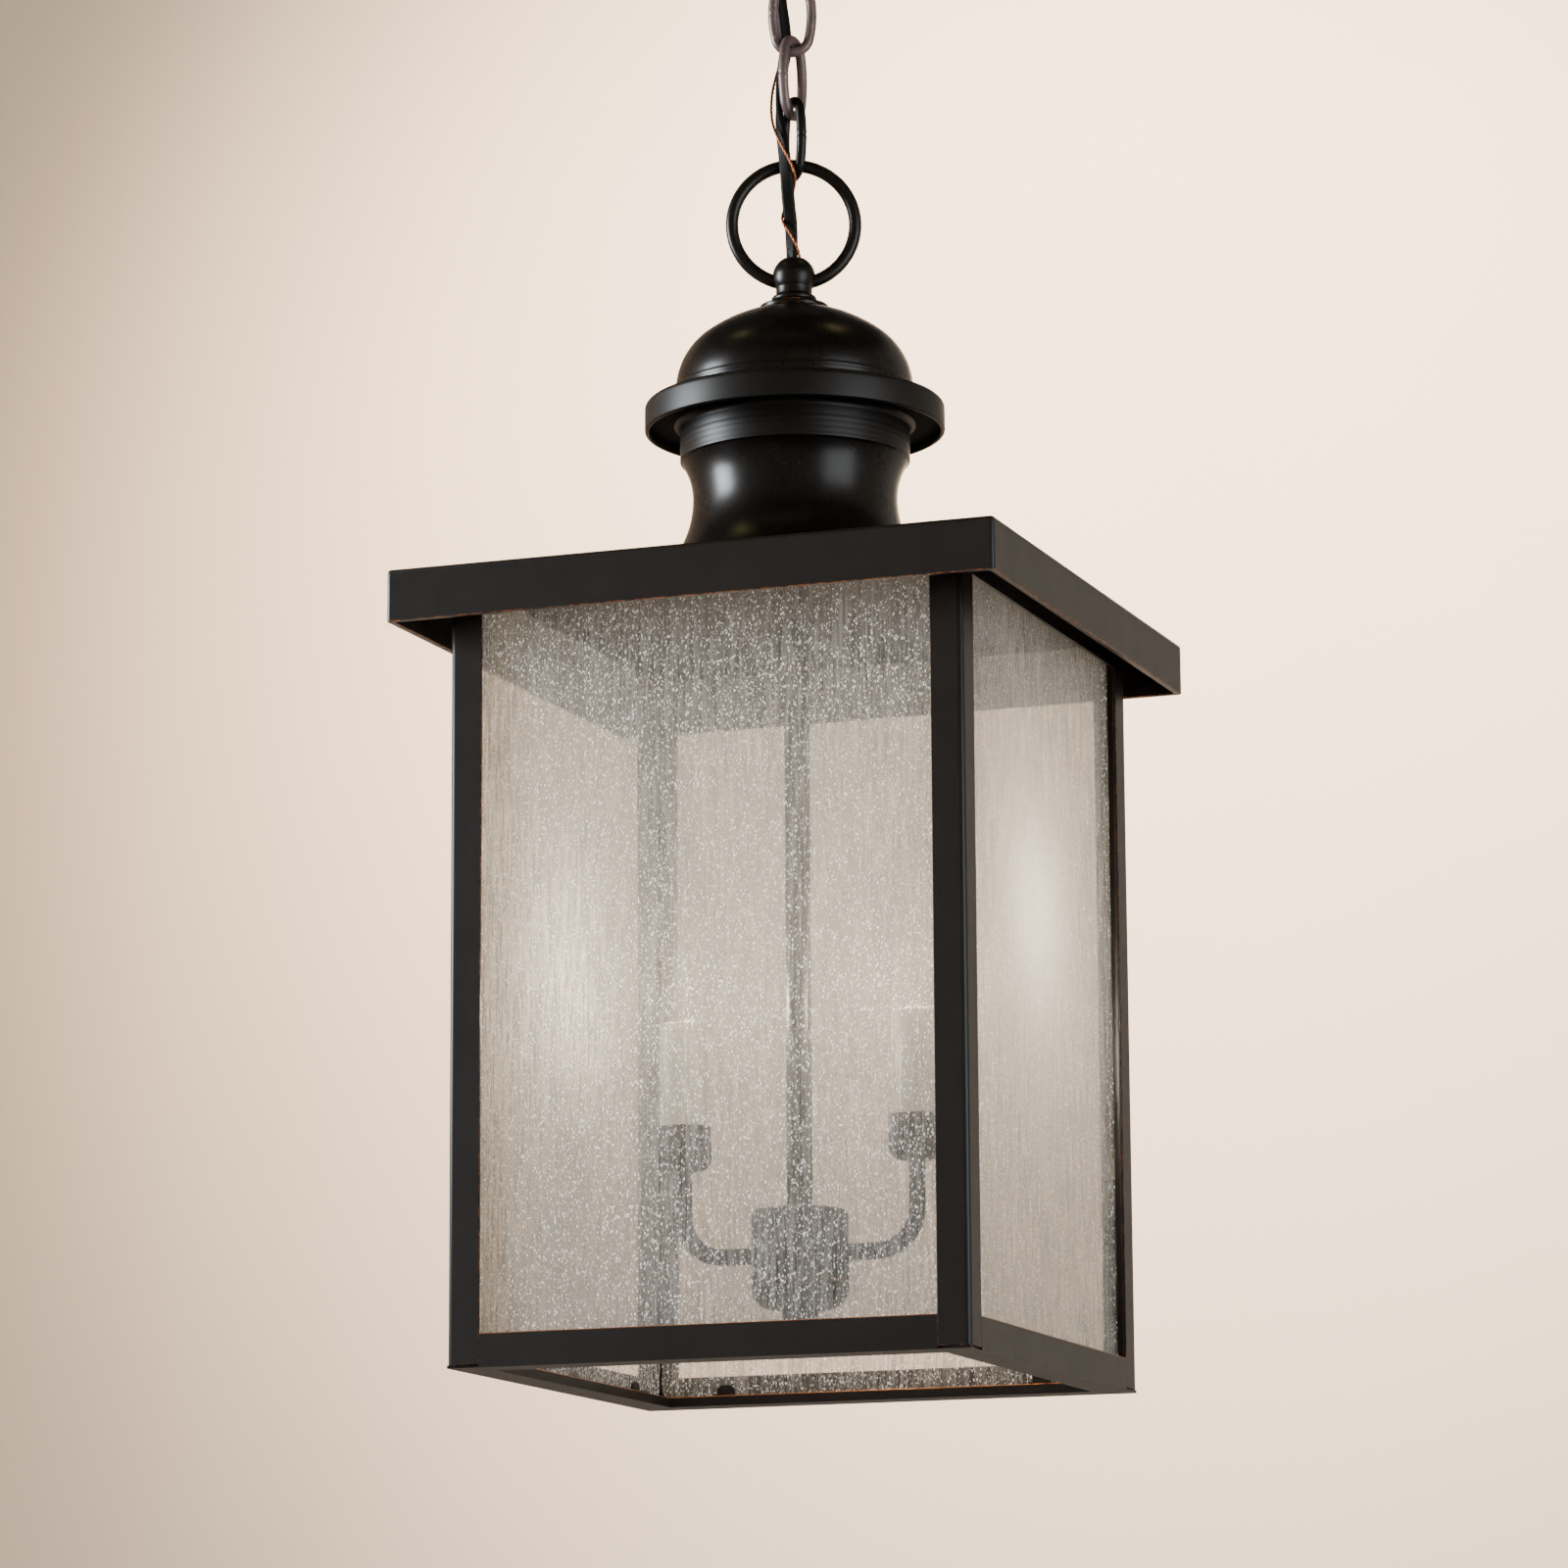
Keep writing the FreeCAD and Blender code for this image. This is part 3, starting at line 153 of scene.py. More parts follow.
class LanternColours(PropertyGroup):
    """Colours of the finishes."""
    bronze: colour("Bronze", (0.0021, 0.0015, 0.0011), "Oil-rubbed bronze of the turned pieces")
    bronze_warm: colour("Warm bronze", (0.0060, 0.0037, 0.0027), "Warmer patches in the bronze")
    sheet: colour("Sheet", (0.0050, 0.0028, 0.0020), "Oil-rubbed bronze of the roof and frame")
    cluster: colour("Cluster", (0.045, 0.036, 0.029), "Bronze of the candle cluster")
    rub: colour("Rub-through", (0.42, 0.15, 0.045), "Copper that shows where the finish is rubbed off")
    chain: colour("Chain", (0.085, 0.054, 0.053), "Brown of the chain")
    chain_dark: colour("Dark chain", (0.038, 0.024, 0.024), "Darker patches on the chain")
    chain_rub: colour("Rubbed chain", (0.36, 0.21, 0.17), "Streaks where the chain is rubbed bright")
    glass: colour("Glass", (0.215, 0.203, 0.183), "Veil of the seeded glass")
    seeds: colour("Seeds", (0.92, 0.90, 0.87), "Seeds in the glass")
    ivory: colour("Ivory", (0.78, 0.70, 0.55), "Candle sleeves")
    # The lamp colour also tints the painted glow on the glass and on the candle sleeves
    lamp: colour("Lamp", (1.0, 0.83, 0.62), "Glow of the bulbs")
    copper: colour("Copper", (0.34, 0.13, 0.055), "Bare ground wire")
    zinc: colour("Zinc", (0.50, 0.49, 0.46), "Plated steel")
    brass: colour("Brass", (0.70, 0.50, 0.22), "Screw bases of the bulbs")
    socket: colour("Socket", (0.018, 0.018, 0.018), "Moulded lamp sockets")
    cable: colour("Cable", (0.003, 0.0028, 0.0028), "Sheath of the cable")
    backdrop: colour("Backdrop", (0.80, 0.745, 0.67), "Pale floor and backdrop")


class LanternStage(PropertyGroup):
    """Camera and light."""
    lens: number("Lens", 133.86, "Focal length in millimetres")
    yaw: tilt("Yaw", 20.1768, "Turn to the left")
    pitch: tilt("Pitch", 10.9543, "Look upwards")
    roll: tilt("Roll", -0.3369, "Tilt of the view")
    place: FloatVectorProperty(
        name="Place", default=(0.759494, -2.081585, -0.813813), subtype="TRANSLATION",
        description="Camera's place")
    key: number("Key light", 200, "Power of the soft light on the left")
    fill: number("Fill light", 70, "Power of the faint light on the right")
    lamps: number("Ceiling lamps", 1.6, "Power of each warm lamp overhead")
    wash: number("Backdrop wash", 2400, "Power of the light on the backdrop")
    low: number("Low wash", 5, "Power of the light low on the backdrop")
    room: number("Room wash", 12, "Power of the light on the wall in front")
    glow: number("Bulb glow", 1.8, "Power of the light from each bulb")
    air: number("Air", 0.08, "Strength of the light from all round")


def sizes():
    return bpy.context.scene.lantern_sizes


def colours():
    return bpy.context.scene.lantern_colours


def deeper(tone, share):
    return tuple(part * share for part in tone)


class Look:
    """A new material, and the nodes that its patterns are made of."""

    def __init__(self, name, **surface):
        finishes[name] = bpy.data.materials.new(name)
        finishes[name].use_nodes = True
        self.tree = finishes[name].node_tree
        self.shader = self.tree.nodes["Principled BSDF"]
        for key, value in surface.items():
            self.shader.inputs[key.replace("_", " ")].default_value = value
        self.place = self.add("TexCoord").outputs["Object"]

    def add(self, kind, inputs=None, **settings):
        """Add a node. Inputs are plain values or the outputs of other nodes."""
        node = self.tree.nodes.new("ShaderNode" + kind)
        for name, value in settings.items():
            setattr(node, name, value)
        for key, value in (inputs or {}).items():
            if isinstance(value, bpy.types.NodeSocket):
                self.tree.links.new(value, node.inputs[key])
            else:
                node.inputs[key].default_value = value
        return node

    def put(self, socket, value):
        self.tree.links.new(value, self.shader.inputs[socket])

    def spread(self, value, low, high, start=0.35, stop=0.65):
        """Map a pattern from start..stop to low..high."""
        limits = {"From Min": start, "From Max": stop, "To Min": low, "To Max": high}
        return self.add("MapRange", {"Value": value, **limits}).outputs["Result"]

    def mixed(self, factor, first, second, kind="MIX"):
        """Mix two colours."""
        inputs = {"Fac": factor}
        for key, value in (("Color1", first), ("Color2", second)):
            inputs[key] = value if isinstance(value, bpy.types.NodeSocket) else (*value, 1)
        return self.add("MixRGB", inputs, blend_type=kind).outputs["Color"]

    def calc(self, operation, first, second):
        return self.add("Math", {0: first, 1: second}, operation=operation).outputs["Value"]

    def times(self, first, second):
        return self.calc("MULTIPLY", first, second)

    def plus(self, first, second):
        return self.calc("ADD", first, second)

    def noise(self, scale, detail=4.0, roughness=0.55, place=None):
        grain = {"Scale": scale, "Detail": detail, "Roughness": roughness}
        return self.add("TexNoise", {"Vector": place or self.place, **grain}).outputs["Fac"]

    def stretched(self, x, y, z):
        """Object coordinates with a scale of their own along each axis."""
        return self.add("Mapping", {"Vector": self.place, "Scale": (x, y, z)}).outputs["Vector"]

    def marked(self, name):
        """What the faces carry in an attribute."""
        return self.add("Attribute", attribute_name=name).outputs["Fac"]

    def bump(self, height, distance, strength):
        node = self.add("Bump", {"Height": height, "Distance": distance, "Strength": strength})
        self.put("Normal", node.outputs["Normal"])


def bronze_finish(name, base, warm, rough, lathe=0.0, rub=1.0, shine=0.24, tint=(1, 1, 1)):
    """Dark bronze with warm patches and fine texture. Copper shows where the piece's rub attribute is high,
    and its brushed attribute adds to the roughness."""
    look = Look(name, Specular_IOR_Level=shine, Specular_Tint=(*tint, 1))
    broken = look.times(look.noise(420, 6, 0.7), 0.9)
    worn = look.spread(look.plus(look.marked("rub"), broken), 0, rub, 0.92, 1.3)
    dark = look.mixed(look.spread(look.noise(38, 5), 0, 1), base, warm)
    look.put("Base Color", look.mixed(worn, dark, colours().rub))
    look.put("Metallic", worn)
    satin = look.spread(look.noise(75, 6, 0.65), rough - 0.01, rough + 0.03, 0.3, 0.7)
    look.put("Roughness", look.plus(satin, look.marked("brushed")))
    height = look.noise(900, 3)
    if lathe:
        rings = look.noise(1.0, 3, place=look.stretched(3, 3, 1500))
        height = look.plus(look.times(height, 0.05), look.times(rings, lathe))
    look.bump(height, FINE_BUMP, 0.5)


class LANTERN_OT_finishes(Operator):
    """Make the finishes of all pieces"""
    bl_idname = "lantern.finishes"
    bl_label = "Finishes"

    def execute(self, context):
        tone = colours()
        bronze, warm, lit = tone.bronze, tone.bronze_warm, (*tone.lamp, 1)
        bronze_finish("spun_bronze", bronze, bronze, 0.27, lathe=0.4, rub=0.6, shine=0.18)
        bronze_finish("sheet_bronze", tone.sheet, warm, 0.36, rub=0.9, shine=0.26, tint=(0.8, 0.92, 1.0))
        bronze_finish("dull_bronze", bronze, bronze, 0.7, rub=0.0, shine=0.04)
        bronze_finish("loop_bronze", bronze, bronze, 0.32, rub=0.6, shine=0.2)
        bronze_finish("knurl_bronze", warm, tone.rub, 0.34)
        bronze_finish("cluster_bronze", tone.cluster, warm, 0.34, rub=0.4)
        self.chain(tone)
        self.glass(tone)
        self.bulb(lit)
        self.metal("plated_zinc", tone.zinc, 0.32)
        self.metal("lamp_brass", tone.brass, 0.28)
        self.metal("bare_copper", tone.copper, 0.38)
        # The candle sleeves get a painted glow: an emission in the bulbs' colour that stands in for the
        # bulbs' light on them
        self.plain("ivory_sleeve_painted_glow", tone.ivory, 0.45, 120, Emission_Color=lit, Emission_Strength=0.5)
        self.plain("socket_black", tone.socket, 0.5, 300)
        self.plain("cable_black", tone.cable, 0.5, 500, Specular_IOR_Level=0.12)
        return {"FINISHED"}

    def chain(self, tone):
        """Brown chain, rubbed bright in small streaks."""
        look = Look("chain_brown", Coat_Weight=0.1, Coat_Roughness=0.25)
        patch = look.noise(220, 6, 0.7)
        rubbed = look.times(look.spread(patch, 0, 1, 0.55, 0.72), 0.55)
        dark = look.mixed(look.spread(look.noise(90, 4), 0, 1), tone.chain, tone.chain_dark)
        look.put("Base Color", look.mixed(rubbed, dark, tone.chain_rub))
        look.put("Metallic", look.times(rubbed, 0.9))
        look.put("Roughness", look.spread(patch, 0.46, 0.28, 0.3, 0.7))
        look.bump(look.noise(420, 5, 0.6), 0.00012, 0.5)

    def glass(self, tone):
        """Clear glass drawn in fine upright streaks. A thin veil and small white seeds scatter the light, and
        a painted glow, an emission in the bulbs' colour that falls with the distance, stands in for the
        bulbs' light they pass on."""
        look = Look(
            "seeded_glass", Transmission_Weight=0.04, IOR=1.47, Specular_IOR_Level=0.8, Subsurface_Weight=0.4,
            Subsurface_Radius=(1, 1, 1), Subsurface_Scale=0.003, Emission_Color=(*tone.lamp, 1))
        low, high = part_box("bulb_left")
        # shine adds up the painted glow: an emission in the bulbs' colour that falls with the distance from
        # each bulb
        shine = 0.0
        for side in ARMS.values():
            bulb = (ARM_REACH * side, 0, (low.z + high.z) / 2)
            away = look.add("VectorMath", {0: look.place, 1: bulb}, operation="DISTANCE").outputs["Value"]
            painted_glow_near = look.calc("DIVIDE", PAINTED_GLOW_SHARE, look.calc("POWER", away, PAINTED_GLOW_FALL))
            shine = look.plus(shine, painted_glow_near)
        look.put("Emission Strength", shine)
        streak = look.noise(1000, 4, 0.65, look.stretched(1, 1, 0.05))
        broad = look.noise(170, 2, 0.5, look.stretched(1, 1, 0.12))
        cells = look.add("TexVoronoi", {"Vector": look.stretched(1, 1, 0.5), "Scale": 1350.0})
        chance = look.add("SeparateColor", {"Color": cells.outputs["Color"]}).outputs["Red"]
        inside = look.calc("SUBTRACT", look.spread(chance, 0.0, 0.5, 0.12, 1), cells.outputs["Distance"])
        ragged = look.spread(look.noise(2700, 2), -0.18, 0.18, 0.3, 0.7)
        seed = look.spread(look.plus(inside, ragged), 0, 1, 0.0, 0.14)
        haze = look.mixed(look.spread(streak, 0, 1, 0.36, 0.66), deeper(tone.glass, 0.12), tone.glass)
        look.put("Base Color", look.mixed(seed, haze, tone.seeds))
        veil = look.spread(streak, 0.25, 0.66, 0.36, 0.66)
        look.put("Alpha", look.calc("MAXIMUM", veil, look.times(seed, 0.85)))
        look.put("Roughness", look.spread(seed, 0.9, 0.8, 0, 1))
        waves = look.plus(look.times(streak, 0.25), look.times(broad, 0.45))
        look.bump(look.plus(waves, look.times(seed, 0.5)), 0.00016, 1.0)

    def bulb(self, lit):
        """Thin clear bulb glass with a faint bloom."""
        look = Look(
            "bulb_glow", Base_Color=(0.95, 0.91, 0.84, 1), Emission_Color=lit, Emission_Strength=0.35,
            Transmission_Weight=1.0, IOR=1.45)
        cloud = look.noise(60, 3)
        look.put("Alpha", look.spread(cloud, 0.03, 0.06))
        look.put("Roughness", look.spread(cloud, 0.1, 0.2))
        look.bump(look.noise(300, 2), 0.00003, 0.4)

    def metal(self, name, tone, rough):
        """Bare metal with fine scratches and faint stains."""
        look = Look(name, Metallic=1.0)
        look.put("Base Color", look.mixed(look.spread(look.noise(70, 5), 0, 1), tone, deeper(tone, 0.6)))
        scratch = look.noise(1.0, 4, place=look.stretched(900, 900, 120))
        look.put("Roughness", look.spread(scratch, rough - 0.06, rough + 0.14))
        look.bump(scratch, FINE_BUMP, 0.5)

    def plain(self, name, tone, rough, scale, **surface):
        """Moulded or painted surface with a faint texture."""
        look = Look(name, **surface)
        cloud = look.noise(scale / 3, 4)
        look.put("Base Color", look.mixed(look.spread(cloud, 0, 1), tone, deeper(tone, 0.82)))
        grain = look.noise(scale * 2, 3)
        look.put("Roughness", look.spread(grain, rough - 0.07, rough + 0.07))
        look.bump(grain, 0.00003, 0.4)


def new_shape():
    """An empty bmesh whose faces carry the rub and brushed attributes."""
    bm = bmesh.new()
    bm.faces.layers.float.new("rub")
    bm.faces.layers.float.new("brushed")
    return bm


def mark(bm, faces, name, value):
    """Set an attribute of faces: rub where the finish is rubbed off, brushed where it is rougher."""
    layer = bm.faces.layers.float[name]
    for face in faces:
        face[layer] = value


def creases(bm, angle=28):
    """Edges where two faces meet at more than the angle, in degrees."""
    return [
        edge for edge in bm.edges
        if len(edge.link_faces) == 2 and edge.calc_face_angle(0.0) > radians(angle)]


def ease(bm, edges, offset, segments=3, worn=1.0):
    """Round edges over and mark the new faces as worn."""
    made = bmesh.ops.bevel(
        bm, geom=edges, offset=offset, offset_type="OFFSET", segments=segments, profile=0.5,
        affect="EDGES", clamp_overlap=True, material=-1)
    mark(bm, made["faces"], "rub", worn)


def outward(bm):
    bmesh.ops.recalc_face_normals(bm, faces=bm.faces[:])


def tidy(bm, dist=1e-6):
    """Merge vertices that lie together and turn the faces outward."""
    bmesh.ops.remove_doubles(bm, verts=bm.verts[:], dist=dist)
    outward(bm)


def moved(bm, x=0.0, y=0.0, z=0.0, turn=0.0, verts=None):
    """Turn about the vertical, then move."""
    matrix = Matrix.Translation((x, y, z)) @ Matrix.Rotation(turn, 4, "Z")
    bmesh.ops.transform(bm, matrix=matrix, verts=verts or bm.verts[:])


def verts_in(geom):
    return [item for item in geom if isinstance(item, bmesh.types.BMVert)]


def edges_in(geom):
    return [item for item in geom if isinstance(item, bmesh.types.BMEdge)]


def placed(name, data):
    """A new object in the scene."""
    made = bpy.data.objects.new(name, data)
    bpy.context.scene.collection.objects.link(made)
    return made


def mesh_of(name, bm):
    mesh = bpy.data.meshes.new(name)
    bm.to_mesh(mesh)
    bm.free()
    return mesh


def piece(node, form, bm, finish, smooth=38, ride=True, sheet=False):
    """Make the bmesh a finished piece that stands for a CAD node.
    The faces of sheet are shaded flat between their rounded edges."""
    layer = bm.faces.layers.float["rub"]
    rounded = [not sheet or face[layer] > 0 for face in bm.faces]
    mesh = mesh_of(f"{node}_{form}", bm)
    mesh.set_sharp_from_angle(angle=radians(smooth))
    for face, smoothed in zip(mesh.polygons, rounded):
        face.use_smooth = smoothed
    mesh.materials.append(finishes[finish])
    made = placed(f"{node}_{form}", mesh)
    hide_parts(node)
    if ride:
        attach(made, BODY_OF[node])
    return made


def unseen(name, data, place):
    """A light that lights the scene but doesn't show itself."""
    lamp = placed(name, data)
    lamp.location = place
    lamp.visible_camera = False
    lamp.visible_transmission = False
    return lamp


def finish_nodes(finish, *nodes):
    """Keep the shape of CAD nodes and give them a finish."""
    for node in nodes:
        data = frame["nodes"][node].data
        data.materials.clear()
        data.materials.append(finishes[finish])


def tangent(out, up):
    """Radius of an arc that starts straight up and ends so far out and up."""
    return (out * out + up * up) / (2 * out)


class Section:
    """Half section of a turned piece, drawn in the XZ plane from one end to the other, in millimetres."""

    def __init__(self, x, z):
        self.bm = new_shape()
        self.first = self.bm.verts.new((x * MM, 0, z * MM))
        self.end = self.first

    def to(self, *points):
        """Straight lines to the points."""
        for x, z in points:
            self.end = bmesh.ops.extrude_vert_indiv(self.bm, verts=[self.end])["verts"][0]
            self.end.co = (x * MM, 0, z * MM)
        return self

    def arc(self, x, z, turn, steps=8):
        """Arc about a centre, counterclockwise, in degrees."""
        made = bmesh.ops.spin(
            self.bm, geom=[self.end], cent=(x * MM, 0, z * MM), axis=(0, -1, 0), angle=radians(turn),
            steps=steps)
        self.end = verts_in(made["geom_last"])[0]
        return self

    def curve(self, x, z, radius, side, steps=8):
        """Arc of less than half a turn to a point. Side 1 turns left on the way, -1 turns right."""
        start = Vector((self.end.co.x / MM, self.end.co.z / MM))
        chord = Vector((x, z)) - start
        left = Vector((-chord.y, chord.x)).normalized()
        half = chord.length / 2
        centre = start + chord / 2 + left * side * sqrt(max(radius * radius - half * half, 0))
        self.arc(centre.x, centre.y, degrees(2 * asin(min(half / radius, 1))) * side, steps)
        self.end.co = (x * MM, 0, z * MM)
        return self

    def turned(
            self, node=None, top=False, side=0, closed=True, round_over=None, worn=1.0, steps=None,
            segments=3):
        """Turn the section about the vertical and ease its edges. It is moved to the foot or the top of a CAD
        node, and to the arm on a side."""
        bm = self.bm
        if closed:
            bm.edges.new((self.end, self.first))
        bmesh.ops.spin(
            bm, geom=bm.verts[:] + bm.edges[:], cent=(0, 0, 0), axis=(0, 0, 1), angle=2 * pi,
            steps=steps or sizes().turn_steps, use_merge=True)
        tidy(bm, 2e-6)
        offset = sizes().edge_round if round_over is None else round_over * MM
        if offset:
            ease(bm, creases(bm), offset, segments, worn)
        if node:
            moved(bm, ARM_REACH * side, 0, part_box(node)[top].z)
        return bm


def grooves(radius, start, pitch, count, deep=0.045):
    """Points of fine turned grooves up a straight wall, in millimetres."""
    shape = ((0, -0.5), (deep, -0.15), (deep, 0.15), (0, 0.5))
    levels = [start + pitch * number for number in range(count)]
    return [(radius - cut, level + rise) for level in levels for cut, rise in shape]


def ring_of(bm, radius, segments, matrix):
    """Ring of edges, placed by a matrix."""
    made = bmesh.ops.create_circle(bm, cap_ends=False, radius=radius, segments=segments, matrix=matrix)
    return list(dict.fromkeys(edge for vert in made["verts"] for edge in vert.link_edges))


def spun_on(bm, ring, cent, axis, angle, steps):
    """Carry a ring of edges round an arc and return the ring at its end."""
    verts = list(dict.fromkeys(vert for edge in ring for vert in edge.verts))
    made = bmesh.ops.spin(bm, geom=verts + ring, cent=cent, axis=axis, angle=angle, steps=steps)
    return edges_in(made["geom_last"])


def drawn_on(bm, edges):
    """Extrude edges and return the fresh vertices and the fresh edges between them."""
    made = bmesh.ops.extrude_edge_only(bm, edges=edges)["geom"]
    verts = verts_in(made)
    kept = set(verts)
    return verts, [edge for edge in edges_in(made) if kept.issuperset(edge.verts)]


def capped(bm, *rings):
    """Close open rings of edges."""
    for ring in rings:
        bmesh.ops.edgeloop_fill(bm, edges=ring)


def carried(bm, ring, frames):
    """Carry a ring, which stands at the first frame, along the other frames and close both ends."""
    first = ring
    for before, after in zip(frames, frames[1:]):
        verts, ring = drawn_on(bm, ring)
        bmesh.ops.transform(bm, matrix=after @ before.inverted(), verts=verts)
    capped(bm, first, ring)


class LANTERN_OT_camera(Operator):
    """Set the camera at the low three-quarter view"""
    bl_idname = "lantern.camera"
    bl_label = "Camera"

    def execute(self, context):
        view = context.scene.lantern_stage
        lens = bpy.data.cameras.new("view_camera")
        lens.sensor_width = 36
        lens.lens = view.lens
        camera = placed("view_camera", lens)
        camera.matrix_world = (
            Matrix.Translation(view.place) @ Matrix.Rotation(view.yaw, 4, "Z")
            @ Matrix.Rotation(pi / 2 + view.pitch, 4, "X") @ Matrix.Rotation(view.roll, 4, "Z"))
        context.scene.camera = camera
        return {"FINISHED"}


class Route:
    """Route of a cord in four sections, one to each joint of the chain, given in the hanging ring's frame:
    across along the ring's plane, toward at right angles to it on the front pane's side, and the height."""
    SECTIONS = (
        ("lantern", "lower_link", "lantern"),
        ("lower", "middle_link", "lower_link"),
        ("upper", "upper_link", "middle_link"),
        ("canopy", "ceiling_mount", "upper_link"),
    )
    # Steps of the line from one control point to the next
    STEPS = 14
    TURN = radians(20)
    ACROSS = Vector((cos(TURN), sin(TURN), 0))
    TOWARD = Vector((sin(TURN), -cos(TURN), 0))

    def __init__(self, groups):
        groups = [[self.point(*step) for step in group] for group in groups]
        joins = [(group[-1] + after[0]) / 2 for group, after in zip(groups, groups[1:])]
        starts = [[]] + [[join] for join in joins]
        stops = [[join] for join in joins] + [[]]
        self.sections = [start + group + stop for start, group, stop in zip(starts, groups, stops)]

    def point(self, across, toward, height):
        return self.ACROSS * across + self.TOWARD * toward + Vector((0, 0, height))

    def line(self, points):
        """Points read from the NURBS line whose control points are the route's points."""
        curve = bpy.data.curves.new("cord_route", "CURVE")
        curve.dimensions = "3D"
        spline = curve.splines.new("NURBS")
        spline.points.add(len(points) - 1)
        for control, point in zip(spline.points, points):
            control.co = (*point, 1)
        spline.order_u = 3
        spline.use_endpoint_u = True
        spline.resolution_u = self.STEPS
        holder = bpy.data.objects.new("cord_route", curve)
        mesh = bpy.data.meshes.new_from_object(holder)
        places = [vert.co.copy() for vert in mesh.vertices]
        bpy.data.meshes.remove(mesh)
        bpy.data.objects.remove(holder)
        bpy.data.curves.remove(curve)
        return places


def frames_along(places, width_at):
    """A frame at each place: x across the cord's width, z along the cord."""
    frames = []
    last = len(places) - 1
    for index, place in enumerate(places):
        along = (places[min(index + 1, last)] - places[max(index - 1, 0)]).normalized()
        width = width_at(place)
        width = (width - along * width.dot(along)).normalized()
        flat = along.cross(width)
        rows = Matrix((width, flat, along)).transposed().to_4x4()
        frames.append(Matrix.Translation(place) @ rows)
    return frames


def run_of(places):
    """Length of the line up to each place."""
    runs = [0.0]
    for before, after in zip(places, places[1:]):
        runs.append(runs[-1] + (after - before).length)
    return runs


class LANTERN_OT_cords(Operator):
    """Make the flat twin cable and the stranded ground wire"""
    bl_idname = "lantern.cords"
    bl_label = "Cords"

    CABLE = (
        ((-0.0003, 0, -0.18535), (-0.0007, 0.0001, -0.17345), (-0.0009, 0.0013, -0.16145),
         (-0.0021, 0.0042, -0.15145), (-0.0027, 0.006, -0.14145)),
        ((-0.0042, 0.0045, -0.12645), (-0.0056, 0.0009, -0.11645), (-0.0053, -0.0014, -0.10745)),
        ((-0.0042, -0.0038, -0.09605), (-0.0024, -0.005, -0.08605), (-0.0032, -0.0056, -0.07605)),
        ((-0.0049, -0.0051, -0.0629), (-0.0031, -0.0037, -0.0539), (0.0007, -0.001, -0.0449),
         (0.0005, 0.0005, -0.0344)),
    )
    GROUND = (
        ((0.0027, 0.0003, -0.18535), (0.003, 0.0009, -0.17395), (-0.0006, 0.0046, -0.16645),
         (-0.005, 0.0028, -0.15945), (-0.0035, 0, -0.15345), (0.0009, 0.0028, -0.14595),
         (0.0002, 0.0086, -0.13945)),
        ((-0.0055, 0.008, -0.12845), (-0.0086, 0.0024, -0.11845), (-0.0085, -0.0028, -0.10645)),
        ((-0.0066, -0.0064, -0.09705), (-0.0038, -0.0082, -0.08705), (-0.0018, -0.0087, -0.07505)),
        ((-0.0053, -0.0084, -0.0639), (-0.0064, -0.0068, -0.0579), (-0.0053, -0.0046, -0.0509),
         (-0.0025, -0.0006, -0.0449), (-0.0021, -0.0019, -0.0344)),
    )
    # Heights, and the turn of the cable's width from the ring's plane there, in degrees
    LIE = (
        (-0.1855, 50), (-0.173, 45), (-0.161, 20), (-0.151, 2), (-0.141, 24), (-0.126, 43), (-0.116, 81),
        (-0.107, 105), (-0.096, 132), (-0.086, 154), (-0.076, 150), (-0.063, 136), (-0.034, 145),
    )
    # Thickness of the cable in the groove between its cores, as a share of a core's
    GROOVE = 0.74
    # Length of cord that bends, above and below a joint
    BEND_REACH = 0.009

    def execute(self, context):
        for section, places in self.sections(self.CABLE):
            self.cable(section, places)
        passed = 0.0
        for section, places in self.sections(self.GROUND):
            passed += self.ground(section, places, passed)
        return {"FINISHED"}

    def sections(self, groups):
        """The sections of a cord, each with the places along its line."""
        route = Route(groups)
        for section, points in zip(Route.SECTIONS, route.sections):
            yield section, route.line(points)

    def lie(self, place):
        """Direction of the cable's width at a height, so that its flat side lies to the chain."""
        heights = [height for height, angle in self.LIE]
        index = max(1, sum(height < place.z for height in heights[:-1]))
        (low, first), (high, second) = self.LIE[index - 1:index + 1]
        part = min(max((place.z - low) / (high - low), 0), 1)
        angle = radians(first + (second - first) * part)
        return Route.ACROSS * cos(angle) + Route.TOWARD * sin(angle)

    def cable(self, section, places):
        """Two sheathed cores side by side, with a groove between them."""
        size = sizes()
        bm = new_shape()
        frames = frames_along(places, self.lie)
        ring = ring_of(bm, 1, 24, Matrix.Identity(4))
        core = size.cable_thickness / 2
        apart = size.cable_width / 2 - core
        for vert in bm.verts:
            x, y = vert.co.xy
            if abs(x) < 1e-4:
                vert.co = (0, y * core * self.GROOVE, 0)
            else:
                vert.co = (x * core + (apart if x > 0 else -apart), y * core, 0)
        bmesh.ops.transform(bm, matrix=frames[0], verts=bm.verts[:])
        carried(bm, ring, frames)
        self.declare("cable", section, bm, "cable_black", places, size.cable_width, "medium")

    def ground(self, section, places, passed):
        """Bare strands twisted round one another."""
        size = sizes()
        bm = new_shape()
        strand = size.ground_width / 2 / (1 + 1 / sin(pi / size.strands))
        lay = size.ground_width / 2 - strand
        frames = frames_along(places, lambda place: Route.ACROSS)
        for number in range(size.strands):
            turned = []
            for frame_here, run in zip(frames, run_of(places)):
                angle = 2 * pi * ((run + passed) / size.strand_pitch + number / size.strands)
                turned.append(frame_here @ Matrix.Translation((lay * cos(angle), lay * sin(angle), 0)))
            carried(bm, ring_of(bm, strand, 9, turned[0]), turned)
        return self.declare("ground", section, bm, "bare_copper", places, size.ground_width, "limp")

